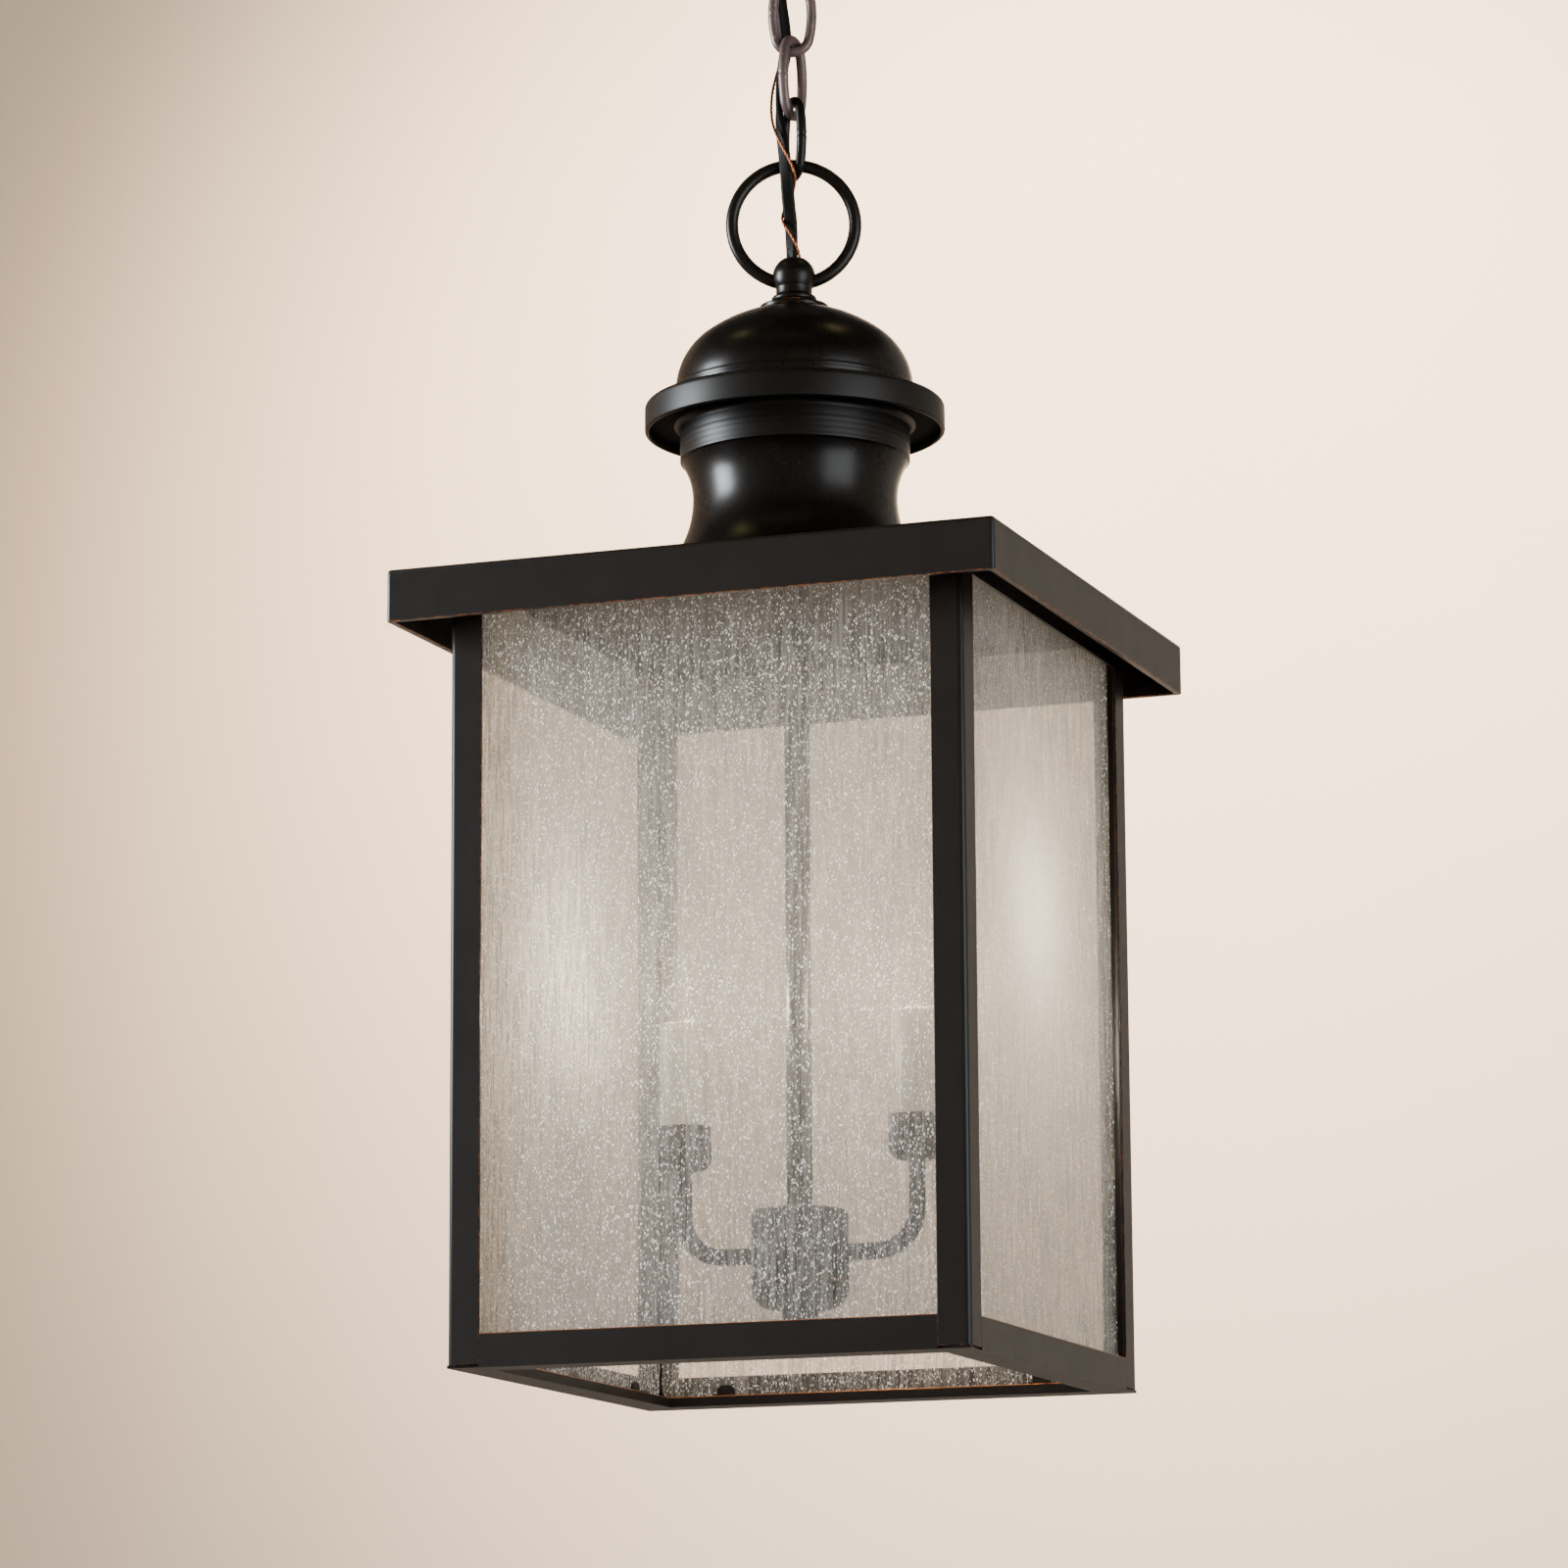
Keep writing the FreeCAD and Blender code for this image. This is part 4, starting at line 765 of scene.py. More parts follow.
    def declare(self, cord, section, bm, finish, places, width, stiffness):
        """Finish a section of cord and bend it over its joint of the chain."""
        name, upper, lower = section
        outward(bm)
        made = piece(f"{cord}_{name}", "cord", bm, finish, smooth=60, ride=False)
        run = run_of(places)[-1]
        joint = next(item for item in frame["joints"] if (item["parent"], item["child"]) == (upper, lower))
        height = joint["pos_m"][2]
        reach = self.BEND_REACH
        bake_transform(made, upper, lower, start=(0, 0, height + reach), end=(0, 0, height - reach))
        tuple(places[0])
        [tuple(place) for place in places]
        return run


class LANTERN_OT_chain(Operator):
    """Make the three links of the chain"""
    bl_idname = "lantern.chain"
    bl_label = "Chain"

    # Radius of the wire, half sizes of the line along its middle and radius of its end bends, in metres
    WIRE = 0.002
    HALF_WIDTH = 0.00765
    HALF_LENGTH = 0.0155
    END = 0.0066
    # Turn of each link about the vertical, in degrees
    TURNS = {"upper_link": 20, "middle_link": 81, "lower_link": 136}
    # Half lengths of the weld's seam and of the swell round it, each with its share of the wire's radius
    WELD = ((0.0003, 0.93), (0.0019, 1.05))

    def execute(self, context):
        for node, turn in self.TURNS.items():
            self.link(node, radians(turn), "loop_bronze" if node == "lower_link" else "chain_brown")
        return {"FINISHED"}

    def link(self, node, turn, finish):
        """Oval of round wire with a butt weld in one leg."""
        bm = new_shape()
        end_z = self.HALF_LENGTH - self.END
        half = self.HALF_WIDTH
        side = (half ** 2 + end_z ** 2 - self.END ** 2) / (2 * (half - self.END))
        lean = atan2(end_z, side - half)
        axis = (0, -1, 0)
        ring = ring_of(bm, self.WIRE, 24, Matrix.Translation((half, 0, 0)))
        ring = spun_on(bm, ring, (half - side, 0, 0), axis, lean, 10)
        ring = spun_on(bm, ring, (0, 0, end_z), axis, pi - 2 * lean, 24)
        ring = spun_on(bm, ring, (side - half, 0, 0), axis, 2 * lean, 28)
        ring = spun_on(bm, ring, (0, 0, -end_z), axis, pi - 2 * lean, 24)
        spun_on(bm, ring, (half - side, 0, 0), axis, lean, 10)
        tidy(bm)
        for vert in bm.verts:
            if vert.co.x < 0:
                swell = next((share for reach, share in self.WELD if abs(vert.co.z) < reach), 1.0)
                centre = Vector((-half, 0, vert.co.z))
                vert.co = centre + (vert.co - centre) * swell
        low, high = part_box(node)
        moved(bm, z=(low.z + high.z) / 2, turn=turn)
        piece(node, "wire", bm, finish, smooth=50)


class LANTERN_OT_loops(Operator):
    """Make the wire rings, their balls and the knurled lock rings"""
    bl_idname = "lantern.loops"
    bl_label = "Rings and balls"

    # Radius between the knurls, as a share of the lock ring's
    KNURL_FOOT = 0.955

    def execute(self, context):
        self.ring("hanging_ring", radius=24.3, wire=2.5, reach=21.4, turn=radians(20), below=False)
        self.ring("ceiling_ring", radius=14, wire=2.25, reach=11, turn=radians(110), below=True)
        self.ball("loop_ball", below=False)
        self.ball("ceiling_ball", below=True)
        self.lock("loop_lock_ring")
        self.lock("canopy_lock_ring")
        return {"FINISHED"}

    def ring(self, node, radius, wire, reach, turn, below):
        """Round wire whose ends sit in the ball, at the inside radius from the ball's centre.
        The reach goes from the ring's centre to the ball's."""
        bm = new_shape()
        inside = 5.95
        gap = acos((radius ** 2 + reach ** 2 - inside ** 2) / (2 * radius * reach))
        start = -pi / 2 + gap
        place = Matrix.Rotation(-start, 4, "Y") @ Matrix.Translation((radius * MM, 0, 0))
        first = ring_of(bm, wire * MM, 28, place)
        capped(bm, first, spun_on(bm, first, (0, 0, 0), (0, -1, 0), 2 * pi - 2 * gap, 110))
        low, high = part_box(node)
        if below:
            bmesh.ops.rotate(bm, cent=(0, 0, 0), matrix=Matrix.Rotation(pi, 3, "X"), verts=bm.verts[:])
        tidy(bm)
        middle = low.z + (radius + wire) * MM if below else high.z - (radius + wire) * MM
        moved(bm, z=middle, turn=turn)
        piece(node, "wire", bm, "loop_bronze", smooth=50)

    def ball(self, node, below):
        """Turned ball with a beaded foot and an eased mouth for the cords."""
        low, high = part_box(node)
        bore, deep, foot, bead, neck, neck_foot = 5.0, 7.0, 7.6, 1.3, 7.1, 3.1
        mouth, centre, radius = 4.2, 10.5, 8.45
        neck_end = centre - sqrt(radius ** 2 - neck ** 2)
        mouth_end = centre + sqrt(radius ** 2 - mouth ** 2)
        section = Section(bore, 0).to((foot, 0)).arc(foot, bead, 180, 10)
        section.to((neck, neck_foot), (neck, neck_end))
        section.curve(radius, centre, radius, 1, 10).curve(mouth, mouth_end, radius, 1, 16)
        section.to((mouth, deep), (bore, deep))
        bm = section.turned(round_over=0.35, worn=0.2, steps=72)
        if below:
            bmesh.ops.scale(bm, vec=(1, 1, -1), verts=bm.verts[:])
            outward(bm)
        moved(bm, z=high.z if below else low.z)
        piece(node, "turned", bm, "loop_bronze")

    def lock(self, node):
        """Thin ring knurled round its edge."""
        bm = new_shape()
        low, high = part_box(node)
        count = sizes().knurls
        made = bmesh.ops.create_circle(bm, cap_ends=True, radius=high.x, segments=4 * count)
        face = made["verts"][0].link_faces[0]
        for index, vert in enumerate(face.verts):
            if index % 4 >= 2:
                vert.co *= self.KNURL_FOOT
        made = bmesh.ops.extrude_face_region(bm, geom=[face])["geom"]
        moved(bm, z=high.z - low.z, verts=verts_in(made))
        tidy(bm)
        mark(bm, [side for side in bm.faces if abs(side.normal.z) < 0.5], "rub", 1.0)
        moved(bm, z=low.z)
        piece(node, "knurled", bm, "knurl_bronze")


class LANTERN_OT_crown(Operator):
    """Make the spun washer, dome, brim, plate and neck"""
    bl_idname = "lantern.crown"
    bl_label = "Crown"

    def execute(self, context):
        self.washer()
        self.dome()
        self.brim()
        self.neck()
        return {"FINISHED"}

    def washer(self):
        """Flat washer with a rounded upper edge."""
        radius, straight, round_over = 13.7, 1.3, 0.7
        section = Section(PIPE_HOLE, 0).to((radius, 0), (radius, straight))
        section.arc(radius - round_over, straight, 90, 6).to((PIPE_HOLE, straight + round_over))
        piece("dome_washer", "turned", section.turned("dome_washer", worn=0.5), "spun_bronze")

    def dome(self):
        """Straight band, tight shoulder and wide crown."""
        radius, rise, shoulder, flat, band, bead, wall = 46.6, 33.5, 27.0, 12.6, 5.6, 0.5, 1.0
        crown = ((radius - shoulder) ** 2 + rise ** 2 - shoulder ** 2) / (2 * (rise - shoulder))
        inner = crown - wall
        centre = rise - crown
        top = centre + sqrt(crown ** 2 - flat ** 2) + band
        lean_x = (radius - shoulder) / (crown - shoulder)
        lean_z = -centre / (crown - shoulder)
        section = Section(radius - wall, 0).to((radius + bead, 0), *grooves(radius + bead, 1.3, 1.7, 3))
        section.to((radius + bead, band - 0.3), (radius, band))
        section.curve(crown * lean_x, centre + band + crown * lean_z, shoulder, 1, 22)
        section.curve(flat, top, crown, 1, 16)
        section.to((PIPE_HOLE, top), (PIPE_HOLE, top - wall), (flat - 0.3, top - wall))
        section.curve(inner * lean_x, centre + band + inner * lean_z, inner, -1, 12)
        section.curve(radius - wall, band, shoulder - wall, -1, 14)
        bm = section.turned("dome", worn=0.1, round_over=0.15, segments=2)
        piece("dome", "spun", bm, "spun_bronze")

    def brim(self):
        """Brim with a rolled rim, and the plate let into its underside."""
        radius, inside, hem, shoulder, straight, top, wall = 58.8, 57.2, 0.8, 2.5, 9.0, 11.5, 1.0
        section = Section(inside, 0).to((radius - hem, 0)).arc(radius - hem, hem, 90, 4)
        section.to((radius, straight)).arc(radius - shoulder, straight, 90, 8)
        section.to((PIPE_HOLE, top), (PIPE_HOLE, top - wall), (inside, top - wall))
        bm = section.turned("brim", worn=0.1, round_over=0.3)
        mark(bm, bm.faces, "brushed", 0.16)
        piece("brim", "spun", bm, "spun_bronze")
        radius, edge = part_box("brim_plate")[1].x / MM, 0.5
        section = Section(PIPE_HOLE, 0).to((radius - edge, 0)).arc(radius - edge, edge, 90, 4)
        section.to((radius, wall), (PIPE_HOLE, wall))
        piece("brim_plate", "pressed", section.turned("brim_plate", round_over=0.1, worn=0), "dull_bronze")

    def neck(self):
        """Rounded foot, flared waist and coved collar."""
        foot, foot_round, foot_height, waist, waist_height = 57.0, 3.0, 12.0, 40.0, 43.7
        collar, ledge, collar_foot, height, cove, wall = 45.0, 0.6, 58.5, 73.0, 2.5, 1.0
        flare = tangent(foot - foot_round - waist, waist_height - foot_height)
        upper = tangent(collar - ledge - waist, collar_foot - waist_height)
        section = Section(foot - wall, 0).to((foot, 0), (foot, foot_height - foot_round))
        section.arc(foot - foot_round, foot_height - foot_round, 90, 8)
        section.curve(waist, waist_height, flare, -1, 22).curve(collar - ledge, collar_foot, upper, -1, 12)
        section.to((collar, collar_foot), *grooves(collar, collar_foot + 1.8, 2.3, 4))
        section.to((collar, height - cove)).curve(collar + cove, height, cove, -1, 8)
        section.to((PIPE_HOLE, height), (PIPE_HOLE, height - wall), (collar - wall, height - wall))
        section.to((collar - wall, collar_foot + wall), (collar - ledge - wall, collar_foot))
        section.curve(waist - wall, waist_height, upper + wall, 1, 8)
        section.curve(foot - foot_round - 1, foot_height - 1.3, flare + wall, 1, 10)
        section.to((foot - wall, foot_height - foot_round))
        bm = section.turned("neck", worn=0.1, round_over=0.25)
        ledge_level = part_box("neck")[0].z + collar_foot * MM
        mark(bm, [face for face in bm.faces if face.calc_center_median().z > ledge_level], "brushed", 0.13)
        piece("neck", "spun", bm, "spun_bronze")


class LANTERN_OT_roof(Operator):
    """Make the roof pan"""
    bl_idname = "lantern.roof"
    bl_label = "Roof pan"

    # Height of the hem, where the sheet is folded back inside the skirt
    HEM = 0.005

    def execute(self, context):
        low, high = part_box("roof_pan")
        wall = sizes().sheet
        half = high.x
        bm = new_shape()
        bmesh.ops.create_cube(bm, size=1, matrix=Matrix.Diagonal((2 * half, 2 * half, high.z - low.z, 1)))
        moved(bm, z=(low.z + high.z) / 2)
        bottom = [face for face in bm.faces if face.normal.z < -0.5]
        rims = list(bottom[0].edges)
        bmesh.ops.delete(bm, geom=bottom, context="FACES_ONLY")
        ease(bm, [edge for edge in bm.edges if edge not in rims], 0.0015, 4, 0.2)
        rim = [edge for edge in bm.edges if edge.is_boundary]
        hem = low.z + self.HEM
        for inset, level in ((2 * wall, low.z), (2 * wall, hem), (wall, hem), (wall, high.z - wall)):
            rim = self.step(bm, rim, half - inset, level)
        capped(bm, rim)
        tidy(bm)
        lower = [edge for edge in creases(bm, 60) if max(vert.co.z for vert in edge.verts) < low.z + 1e-5]
        ease(bm, lower, 0.0004, 3, 0.55)
        piece("roof_pan", "folded", bm, "sheet_bronze", sheet=True)
        return {"FINISHED"}

    def step(self, bm, rim, half, level):
        """Carry the open rim of the pan to a new half width and level."""
        verts, rim = drawn_on(bm, rim)
        size = half / max(vert.co.x for vert in verts)
        bmesh.ops.scale(bm, vec=(size, size, 1), verts=verts)
        for vert in verts:
            vert.co.z = level
        return rim


class LANTERN_OT_frame(Operator):
    """Make the folded posts and bottom rails and dress the top rails"""
    bl_idname = "lantern.frame"
    bl_label = "Posts and rails"

    def execute(self, context):
        for index, (side, corner) in enumerate(zip(SIDES, CORNERS)):
            self.post(f"post_{corner}", index * pi / 2)
            self.rail(f"bottom_rail_{side}", index * pi / 2)
        finish_nodes("sheet_bronze", "top_rails")
        return {"FINISHED"}

    def post(self, node, turn):
        """Angle folded from sheet."""
        low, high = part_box(node)
        half = max(abs(low.x), abs(high.x))
        size = sizes()
        bm = new_shape()
        end = bm.verts.new((half, half - size.angle_leg, 0))
        for place in ((half, half, 0), (half - size.angle_leg, half, 0)):
            end = bmesh.ops.extrude_vert_indiv(bm, verts=[end])["verts"][0]
            end.co = place
        moved(bm, z=high.z - low.z, verts=drawn_on(bm, bm.edges[:])[0])
        outward(bm)
        self.fold(bm)
        moved(bm, z=low.z, turn=turn)
        piece(node, "folded", bm, "sheet_bronze", sheet=True)

    def fold(self, bm):
        """Round the fold and give the sheet its thickness, inwards."""
        size = sizes()
        ease(bm, creases(bm, 60), size.fold, 5, 0.3)
        facing = sum(face.normal.dot(face.calc_center_median()) * face.calc_area() for face in bm.faces)
        if facing < 0:
            bmesh.ops.reverse_faces(bm, faces=bm.faces[:])
        bmesh.ops.solidify(bm, geom=bm.faces[:], thickness=size.sheet)
        tidy(bm)
        ease(bm, creases(bm, 60), 0.00025, 2, 0.5)

    def rail(self, node, turn):
        """Flat box folded from sheet, mitred at its ends, with an upright leg between the posts."""
        low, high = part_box(node)
        size = sizes()
        half = max(abs(low.x), abs(high.x), abs(low.y), abs(high.y))
        end = half - size.angle_leg
        inner = half - size.flange
        bm = new_shape()
        front = [(x, -half) for x in (-half, -end, end, half)]
        corners = front + [(inner, -inner), (-inner, -inner)]
        flange = bm.faces.new([bm.verts.new((x, y, 0)) for x, y in corners])
        outer, inside = flange.edges[1], flange.edges[4]
        self.raised(bm, outer, high.z - low.z)
        top = self.raised(bm, inside, size.lip)
        out = half - size.sheet - size.shelf_gap
        bmesh.ops.scale(bm, vec=(out / inner, out / inner, 1), verts=drawn_on(bm, [top])[0])
        outward(bm)
        if flange.normal.z > 0:
            bmesh.ops.reverse_faces(bm, faces=bm.faces[:])
        bmesh.ops.solidify(bm, geom=bm.faces[:], thickness=size.sheet)
        tidy(bm)
        lip = size.lip - size.sheet * 1.01
        upper = [edge for edge in creases(bm, 40) if min(vert.co.z for vert in edge.verts) > lip]
        ease(bm, upper, 0.0003, 3, 0.85)
        lower = [edge for edge in creases(bm, 40) if max(vert.co.z for vert in edge.verts) < lip]
        ease(bm, lower, 0.0003, 3, 0.4)
        mark(bm, [face for face in bm.faces if face.normal.z < -0.9], "brushed", 0.25)
        moved(bm, z=low.z, turn=turn)
        piece(node, "folded", bm, "sheet_bronze", sheet=True)

    def raised(self, bm, edge, height):
        """Fold a strip up from an edge and return the strip's upper edge."""
        verts, edges = drawn_on(bm, [edge])
        moved(bm, z=height, verts=verts)
        return edges[0]


class LANTERN_OT_panes(Operator):
    """Make the seeded glass panes and dress their tabs"""
    bl_idname = "lantern.panes"
    bl_label = "Glass panes"

    def execute(self, context):
        low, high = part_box("glass_front")
        middle = (low + high) / 2
        for index, side in enumerate(SIDES):
            bm = new_shape()
            bmesh.ops.create_cube(bm, size=1, matrix=Matrix.Diagonal((*(high - low), 1)))
            lower = [edge for edge in bm.edges if all(vert.co.z < 0 for vert in edge.verts)]
            corners = [edge for edge in lower if abs(edge.verts[0].co.x - edge.verts[1].co.x) < 1e-6]
            ease(bm, corners, 0.004, 6, 0)
            tidy(bm)
            ease(bm, creases(bm, 50), 0.0004, 2, 0)
            moved(bm, *middle)
            moved(bm, turn=index * pi / 2)
            piece("glass_" + side, "pane", bm, "seeded_glass", sheet=True)
        finish_nodes("sheet_bronze", "glass_tabs")
        return {"FINISHED"}


class LANTERN_OT_cluster(Operator):
    """Make the stem, hub, arms, cups and candle sleeves and dress the lamp fittings"""
    bl_idname = "lantern.cluster"
    bl_label = "Candle cluster"

    def execute(self, context):
        self.tube("stem", bore=3.5)
        self.tube("stem_coupling", bore=4.95)
        self.hub()
        for place, side in ARMS.items():
            self.arm("arm_" + place, 0 if side > 0 else pi)
            self.cup("cup_" + place, side)
        self.sleeves()
        finish_nodes("socket_black", "lamp_sockets")
        finish_nodes("lamp_brass", "bulb_bases")
        finish_nodes("plated_zinc", "roof_nut", "crown_nipple")
        return {"FINISHED"}

    def tube(self, node, bore):
        """Straight tube, as wide and tall as its CAD node."""
        low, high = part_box(node)
        tall = (high.z - low.z) / MM
        outside = high.x / MM
        section = Section(bore, 0).to((outside, 0), (outside, tall), (bore, tall))
        piece(node, "tube", section.turned(node, round_over=0.3, steps=48), "cluster_bronze")

    def hub(self):
        """Drum with a groove round its foot, the dished cover below it and the cover's knob."""
        radius, inside, groove, edge, tall, wall = 18.7, 17.7, 18.35, 3, 30, 1
        section = Section(inside, 0).to((radius, 0), (radius, 1.6), (groove, 1.9), (groove, 2.4))
        section.to((radius, 2.7), (radius, tall - edge)).arc(radius - edge, tall - edge, 90, 8)
        section.to((PIPE_HOLE, tall), (PIPE_HOLE, tall - wall), (radius - edge, tall - wall))
        section.curve(inside, tall - edge, edge - wall, -1, 6)
        piece("hub", "drum", section.turned("hub", round_over=0.15, steps=80), "cluster_bronze")
        flat, deep = 11, 8
        dish = tangent(radius - flat, deep)
        section = Section(inside, 0).curve(flat, wall - deep, dish - wall, -1, 8)
        section.to((PIPE_HOLE, wall - deep), (PIPE_HOLE, -deep), (flat, -deep)).curve(radius, 0, dish, 1, 10)
        bm = section.turned("hub_cover", top=True, round_over=0.15, steps=80)
        piece("hub_cover", "dish", bm, "cluster_bronze")
        radius, socket, tip, straight, tall = 7, 5, 3, 4, 9
        section = Section(PIPE_HOLE, 0).to((PIPE_HOLE, -socket), (0, -socket), (0, -tall), (tip, -tall))
        section.curve(radius, -straight, tangent(radius - tip, tall - straight), 1, 8).to((radius, 0))
        bm = section.turned("hub_finial", top=True, round_over=0.25, steps=56)
        piece("hub_finial", "turned", bm, "cluster_bronze")

    def arm(self, node, turn):
        """Bent tube from the hub to a cup."""
        bm = new_shape()
        low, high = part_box(node)
        pipe, start, bend = 0.0032, 0.0167, 0.016
        level = low.z + pipe
        first = ring_of(bm, pipe, 24, Matrix.Translation((start, 0, 0)) @ Matrix.Rotation(pi / 2, 4, "Y"))
        verts, ring = drawn_on(bm, first)
        moved(bm, x=ARM_REACH - bend - start, verts=verts)
        ring = spun_on(bm, ring, (ARM_REACH - bend, 0, bend), (0, -1, 0), pi / 2, 16)
        verts, ring = drawn_on(bm, ring)
        moved(bm, z=high.z - level - bend, verts=verts)
        capped(bm, first, ring)
        tidy(bm)
        moved(bm, z=level, turn=turn)
        piece(node, "tube", bm, "cluster_bronze")

    def cup(self, node, side):
        """Rounded cup with a grooved rim."""
        hole, radius, foot, groove, inside, tall, edge = 3.3, 10.6, 5, 10.3, 9.6, 17, 0.4
        section = Section(hole, 0).to((radius - foot, 0)).arc(radius - foot, foot, 90, 8)
        section.to((radius, 14.0), (groove, 14.3), (groove, 14.7), (radius, 15.0), (radius, tall - edge))
        section.arc(radius - edge, tall - edge, 90, 4).to((inside, tall), (inside, foot), (hole, foot))
        bm = section.turned(node, side=side, round_over=0.12, steps=56)
        piece(node, "turned", bm, "cluster_bronze")

    def sleeves(self):
        """Two ivory sleeves, eased at the top, in a finish with a painted glow."""
        low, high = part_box("candle_sleeves")
        inside, outside, tall = 8.4, 9.4, (high.z - low.z) / MM
        both = new_shape()
        for side in ARMS.values():
            section = Section(inside, 0).to((outside, 0), (outside, tall), (inside, tall))
            mesh = mesh_of("sleeve", section.turned("candle_sleeves", side=side, round_over=0.35, steps=48))
            both.from_mesh(mesh)
            bpy.data.meshes.remove(mesh)
        piece("candle_sleeves", "ivory", both, "ivory_sleeve_painted_glow")


class LANTERN_OT_bulbs(Operator):
    """Make the torpedo bulbs"""
    bl_idname = "lantern.bulbs"
    bl_label = "Bulbs"

    # Height of a bulb's light above the bulb's foot
    LIGHT_HEIGHT = 0.01

    def execute(self, context):
        for place, side in ARMS.items():
            self.bulb("bulb_" + place, side)
        return {"FINISHED"}

    def bulb(self, node, side):
        """Hollow torpedo of thin glass with a light in it."""
        neck, neck_end, belly, middle, tip, tall, wall = 5.95, 3, 17.5, 31, 2, 74, 0.8
        swell = tangent(belly - neck, middle - neck_end)
        taper = tangent(belly - tip, tall - middle)
        inner = tangent(belly - tip, tall - wall - middle)
        section = Section(neck - wall, 0).to((neck, 0), (neck, neck_end)).curve(belly, middle, swell, 1, 16)
        section.curve(tip, tall, taper, 1, 20).to((0, tall), (0, tall - wall), (tip - wall, tall - wall))
        section.curve(belly - wall, middle, inner, -1, 18).curve(neck - wall, neck_end, swell, -1, 14)
        piece(node, "glass", section.turned(node, side=side, round_over=0.2, steps=56, worn=0), "bulb_glow")
        data = bpy.data.lights.new(node + "_light", "POINT")
        data.energy = bpy.context.scene.lantern_stage.glow
        data.color = colours().lamp
        data.shadow_soft_size = 0.012
        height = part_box(node)[0].z + self.LIGHT_HEIGHT
        lamp = unseen(node + "_light", data, (ARM_REACH * side, 0, height))
        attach(lamp, BODY_OF[node])


class LANTERN_OT_ceiling(Operator):
    """Make the ceiling canopy and dress the fittings behind it"""
    bl_idname = "lantern.ceiling"
    bl_label = "Ceiling fitting"

    def execute(self, context):
        low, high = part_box("ceiling_canopy")
        wall = sizes().spun / MM
        radius, tall, lip, flat, bulge = high.x / MM, (high.z - low.z) / MM, 4.0, 17.0, 62.0
        section = Section(radius, 0).to((radius - wall, 0), (radius - wall, -lip))
        section.curve(flat, wall - tall, bulge, -1, 18)
        section.to((PIPE_HOLE, wall - tall), (PIPE_HOLE, -tall), (flat, -tall))
        section.curve(radius, -lip, bulge, 1, 22)
        bm = section.turned("ceiling_canopy", top=True, round_over=0.25, worn=0.5)
        piece("ceiling_canopy", "spun", bm, "spun_bronze")
        finish_nodes("plated_zinc", "crossbar", "canopy_nipple", "nipple_locknut")
        return {"FINISHED"}


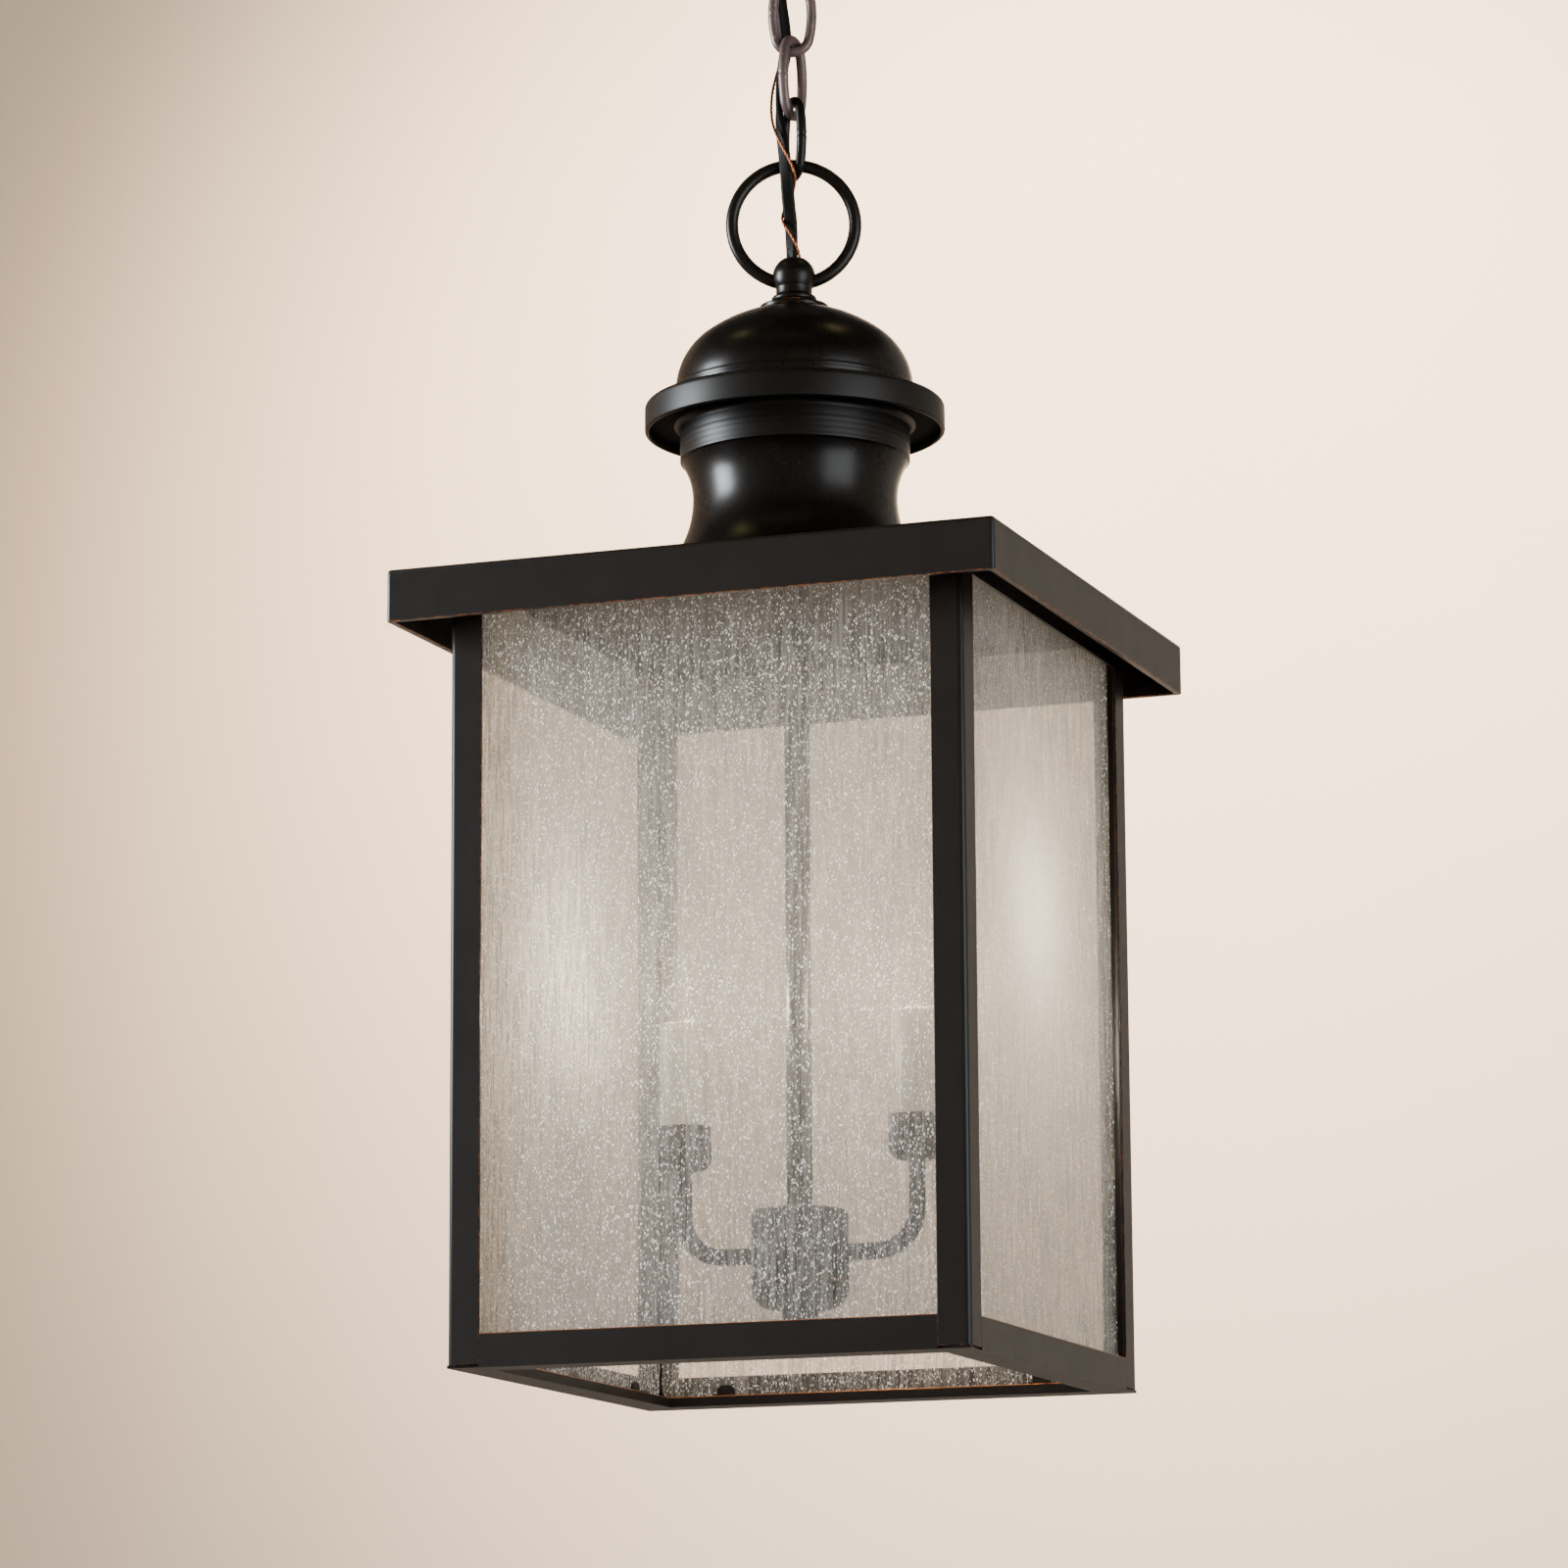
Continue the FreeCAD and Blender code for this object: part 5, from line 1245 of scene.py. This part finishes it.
class LANTERN_OT_stage(Operator):
    """Make the pale floor and backdrop and the soft lights"""
    bl_idname = "lantern.stage"
    bl_label = "Stage"

    def execute(self, context):
        view = context.scene.lantern_stage
        self.backdrop()
        middle = (0, 0, -0.35)
        cool, yellow = (0.9, 0.95, 1.0), (1.0, 0.85, 0.35)
        self.light("key_soft", (-2.28, -1.0, 0.05), middle, 0.8, 1.2, view.key, cool)
        self.light("fill_soft", (2.4, -0.9, -0.42), middle, 1.6, 2.2, view.fill, cool)
        self.light("lamp_left", (-1.05, -0.45, 1.6), middle, 0.3, 0.3, view.lamps, yellow)
        self.light("lamp_right", (0.75, 0.3, 1.7), middle, 0.3, 0.3, view.lamps, yellow)
        self.spot("wash_back", (-0.6, 1.9, 2.2), (-1.2, 4.65, 0.78), 58, view.wash, (1.0, 0.75, 0.52))
        self.light("wash_low", (0.0, 2.6, -1.0), (-1.6, 4.4, -2.0), 2.0, 0.8, view.low, (1.0, 0.78, 0.56))
        self.light("wash_front", (0.3, -1.6, 2.6), (0.6, -4.6, 0.2), 2.4, 1.2, view.room, (1.0, 0.7, 0.48))
        world = bpy.data.worlds.new("studio_air")
        world.use_nodes = True
        air = world.node_tree.nodes["Background"]
        air.inputs["Color"].default_value = (1.0, 0.95, 0.88, 1)
        air.inputs["Strength"].default_value = view.air
        context.scene.world = world
        return {"FINISHED"}

    def backdrop(self):
        """Floor that curves up into a round wall, with a warm painted shade toward the left."""
        look = Look("pale_backdrop", Roughness=0.9, Specular_IOR_Level=0.1)
        tone = colours().backdrop
        plaster = look.mixed(look.spread(look.noise(0.8, 3), 0, 1), tone, deeper(tone, 0.95))
        across = look.add("SeparateXYZ", {"Vector": look.place}).outputs["X"]
        # Painted shade: toward the left the colour turns warmer and darker, where the wall lies in shade
        warm = look.mixed(look.spread(across, 1, 0, -2.5, -1.7), (1, 1, 1), (1.0, 0.89, 0.79))
        look.put("Base Color", look.mixed(1.0, plaster, warm, "MULTIPLY"))
        section = Section(0, -2200).to((3800, -2200)).arc(3800, -1200, 90, 16).to((4800, 3200))
        bm = section.turned(closed=False, round_over=0, steps=96)
        bmesh.ops.reverse_faces(bm, faces=bm.faces[:])
        mesh = mesh_of("floor_and_backdrop", bm)
        mesh.shade_smooth()
        mesh.materials.append(finishes["pale_backdrop"])
        floor = placed("floor_and_backdrop", mesh)

    def light(self, name, place, target, wide, tall, power, tint):
        """Soft rectangular light that faces a point."""
        data = bpy.data.lights.new(name, "AREA")
        data.shape = "RECTANGLE"
        data.size = wide
        data.size_y = tall
        data.energy = power
        data.color = tint
        self.stand(name, data, place, target)

    def spot(self, name, place, target, cone, power, tint):
        """Round light with a soft edge. Its cone is in degrees."""
        data = bpy.data.lights.new(name, "SPOT")
        data.spot_size = radians(cone)
        data.spot_blend = 1.0
        data.shadow_soft_size = 0.2
        data.energy = power
        data.color = tint
        self.stand(name, data, place, target)

    def stand(self, name, data, place, target):
        """Stand a light at its place, facing its target."""
        lamp = unseen(name, data, place)
        lamp.rotation_mode = "QUATERNION"
        lamp.rotation_quaternion = (Vector(target) - Vector(place)).to_track_quat("-Z", "Y")


OPERATORS = (
    LANTERN_OT_finishes, LANTERN_OT_camera, LANTERN_OT_cords, LANTERN_OT_chain, LANTERN_OT_loops,
    LANTERN_OT_crown, LANTERN_OT_roof, LANTERN_OT_frame, LANTERN_OT_panes, LANTERN_OT_cluster,
    LANTERN_OT_bulbs, LANTERN_OT_ceiling, LANTERN_OT_stage,
)


class LANTERN_PT_sidebar(Panel):
    """Lists the steps that dress the lantern"""
    bl_label = "Hanging lantern"
    bl_idname = "LANTERN_PT_sidebar"
    bl_space_type = "VIEW_3D"
    bl_region_type = "UI"
    bl_category = "Lantern"

    def draw(self, context):
        for step in OPERATORS:
            self.layout.operator(step.bl_idname)
        for name, group in GROUPS.items():
            box = self.layout.box()
            for value in group.__annotations__:
                box.prop(getattr(context.scene, name), value)


GROUPS = {
    "lantern_sizes": LanternSizes,
    "lantern_colours": LanternColours,
    "lantern_stage": LanternStage,
}


def register():
    for group in GROUPS.values():
        bpy.utils.register_class(group)
    for name, group in GROUPS.items():
        setattr(bpy.types.Scene, name, PointerProperty(type=group))
    for step in OPERATORS + (LANTERN_PT_sidebar,):
        bpy.utils.register_class(step)


def unregister():
    for step in reversed(OPERATORS + (LANTERN_PT_sidebar,)):
        bpy.utils.unregister_class(step)
    for name in GROUPS:
        delattr(bpy.types.Scene, name)
    for group in GROUPS.values():
        bpy.utils.unregister_class(group)


def main():
    register()
    for step in OPERATORS:
        getattr(bpy.ops.lantern, step.bl_idname.split(".")[1])()


if __name__ == "__main__":
    main()
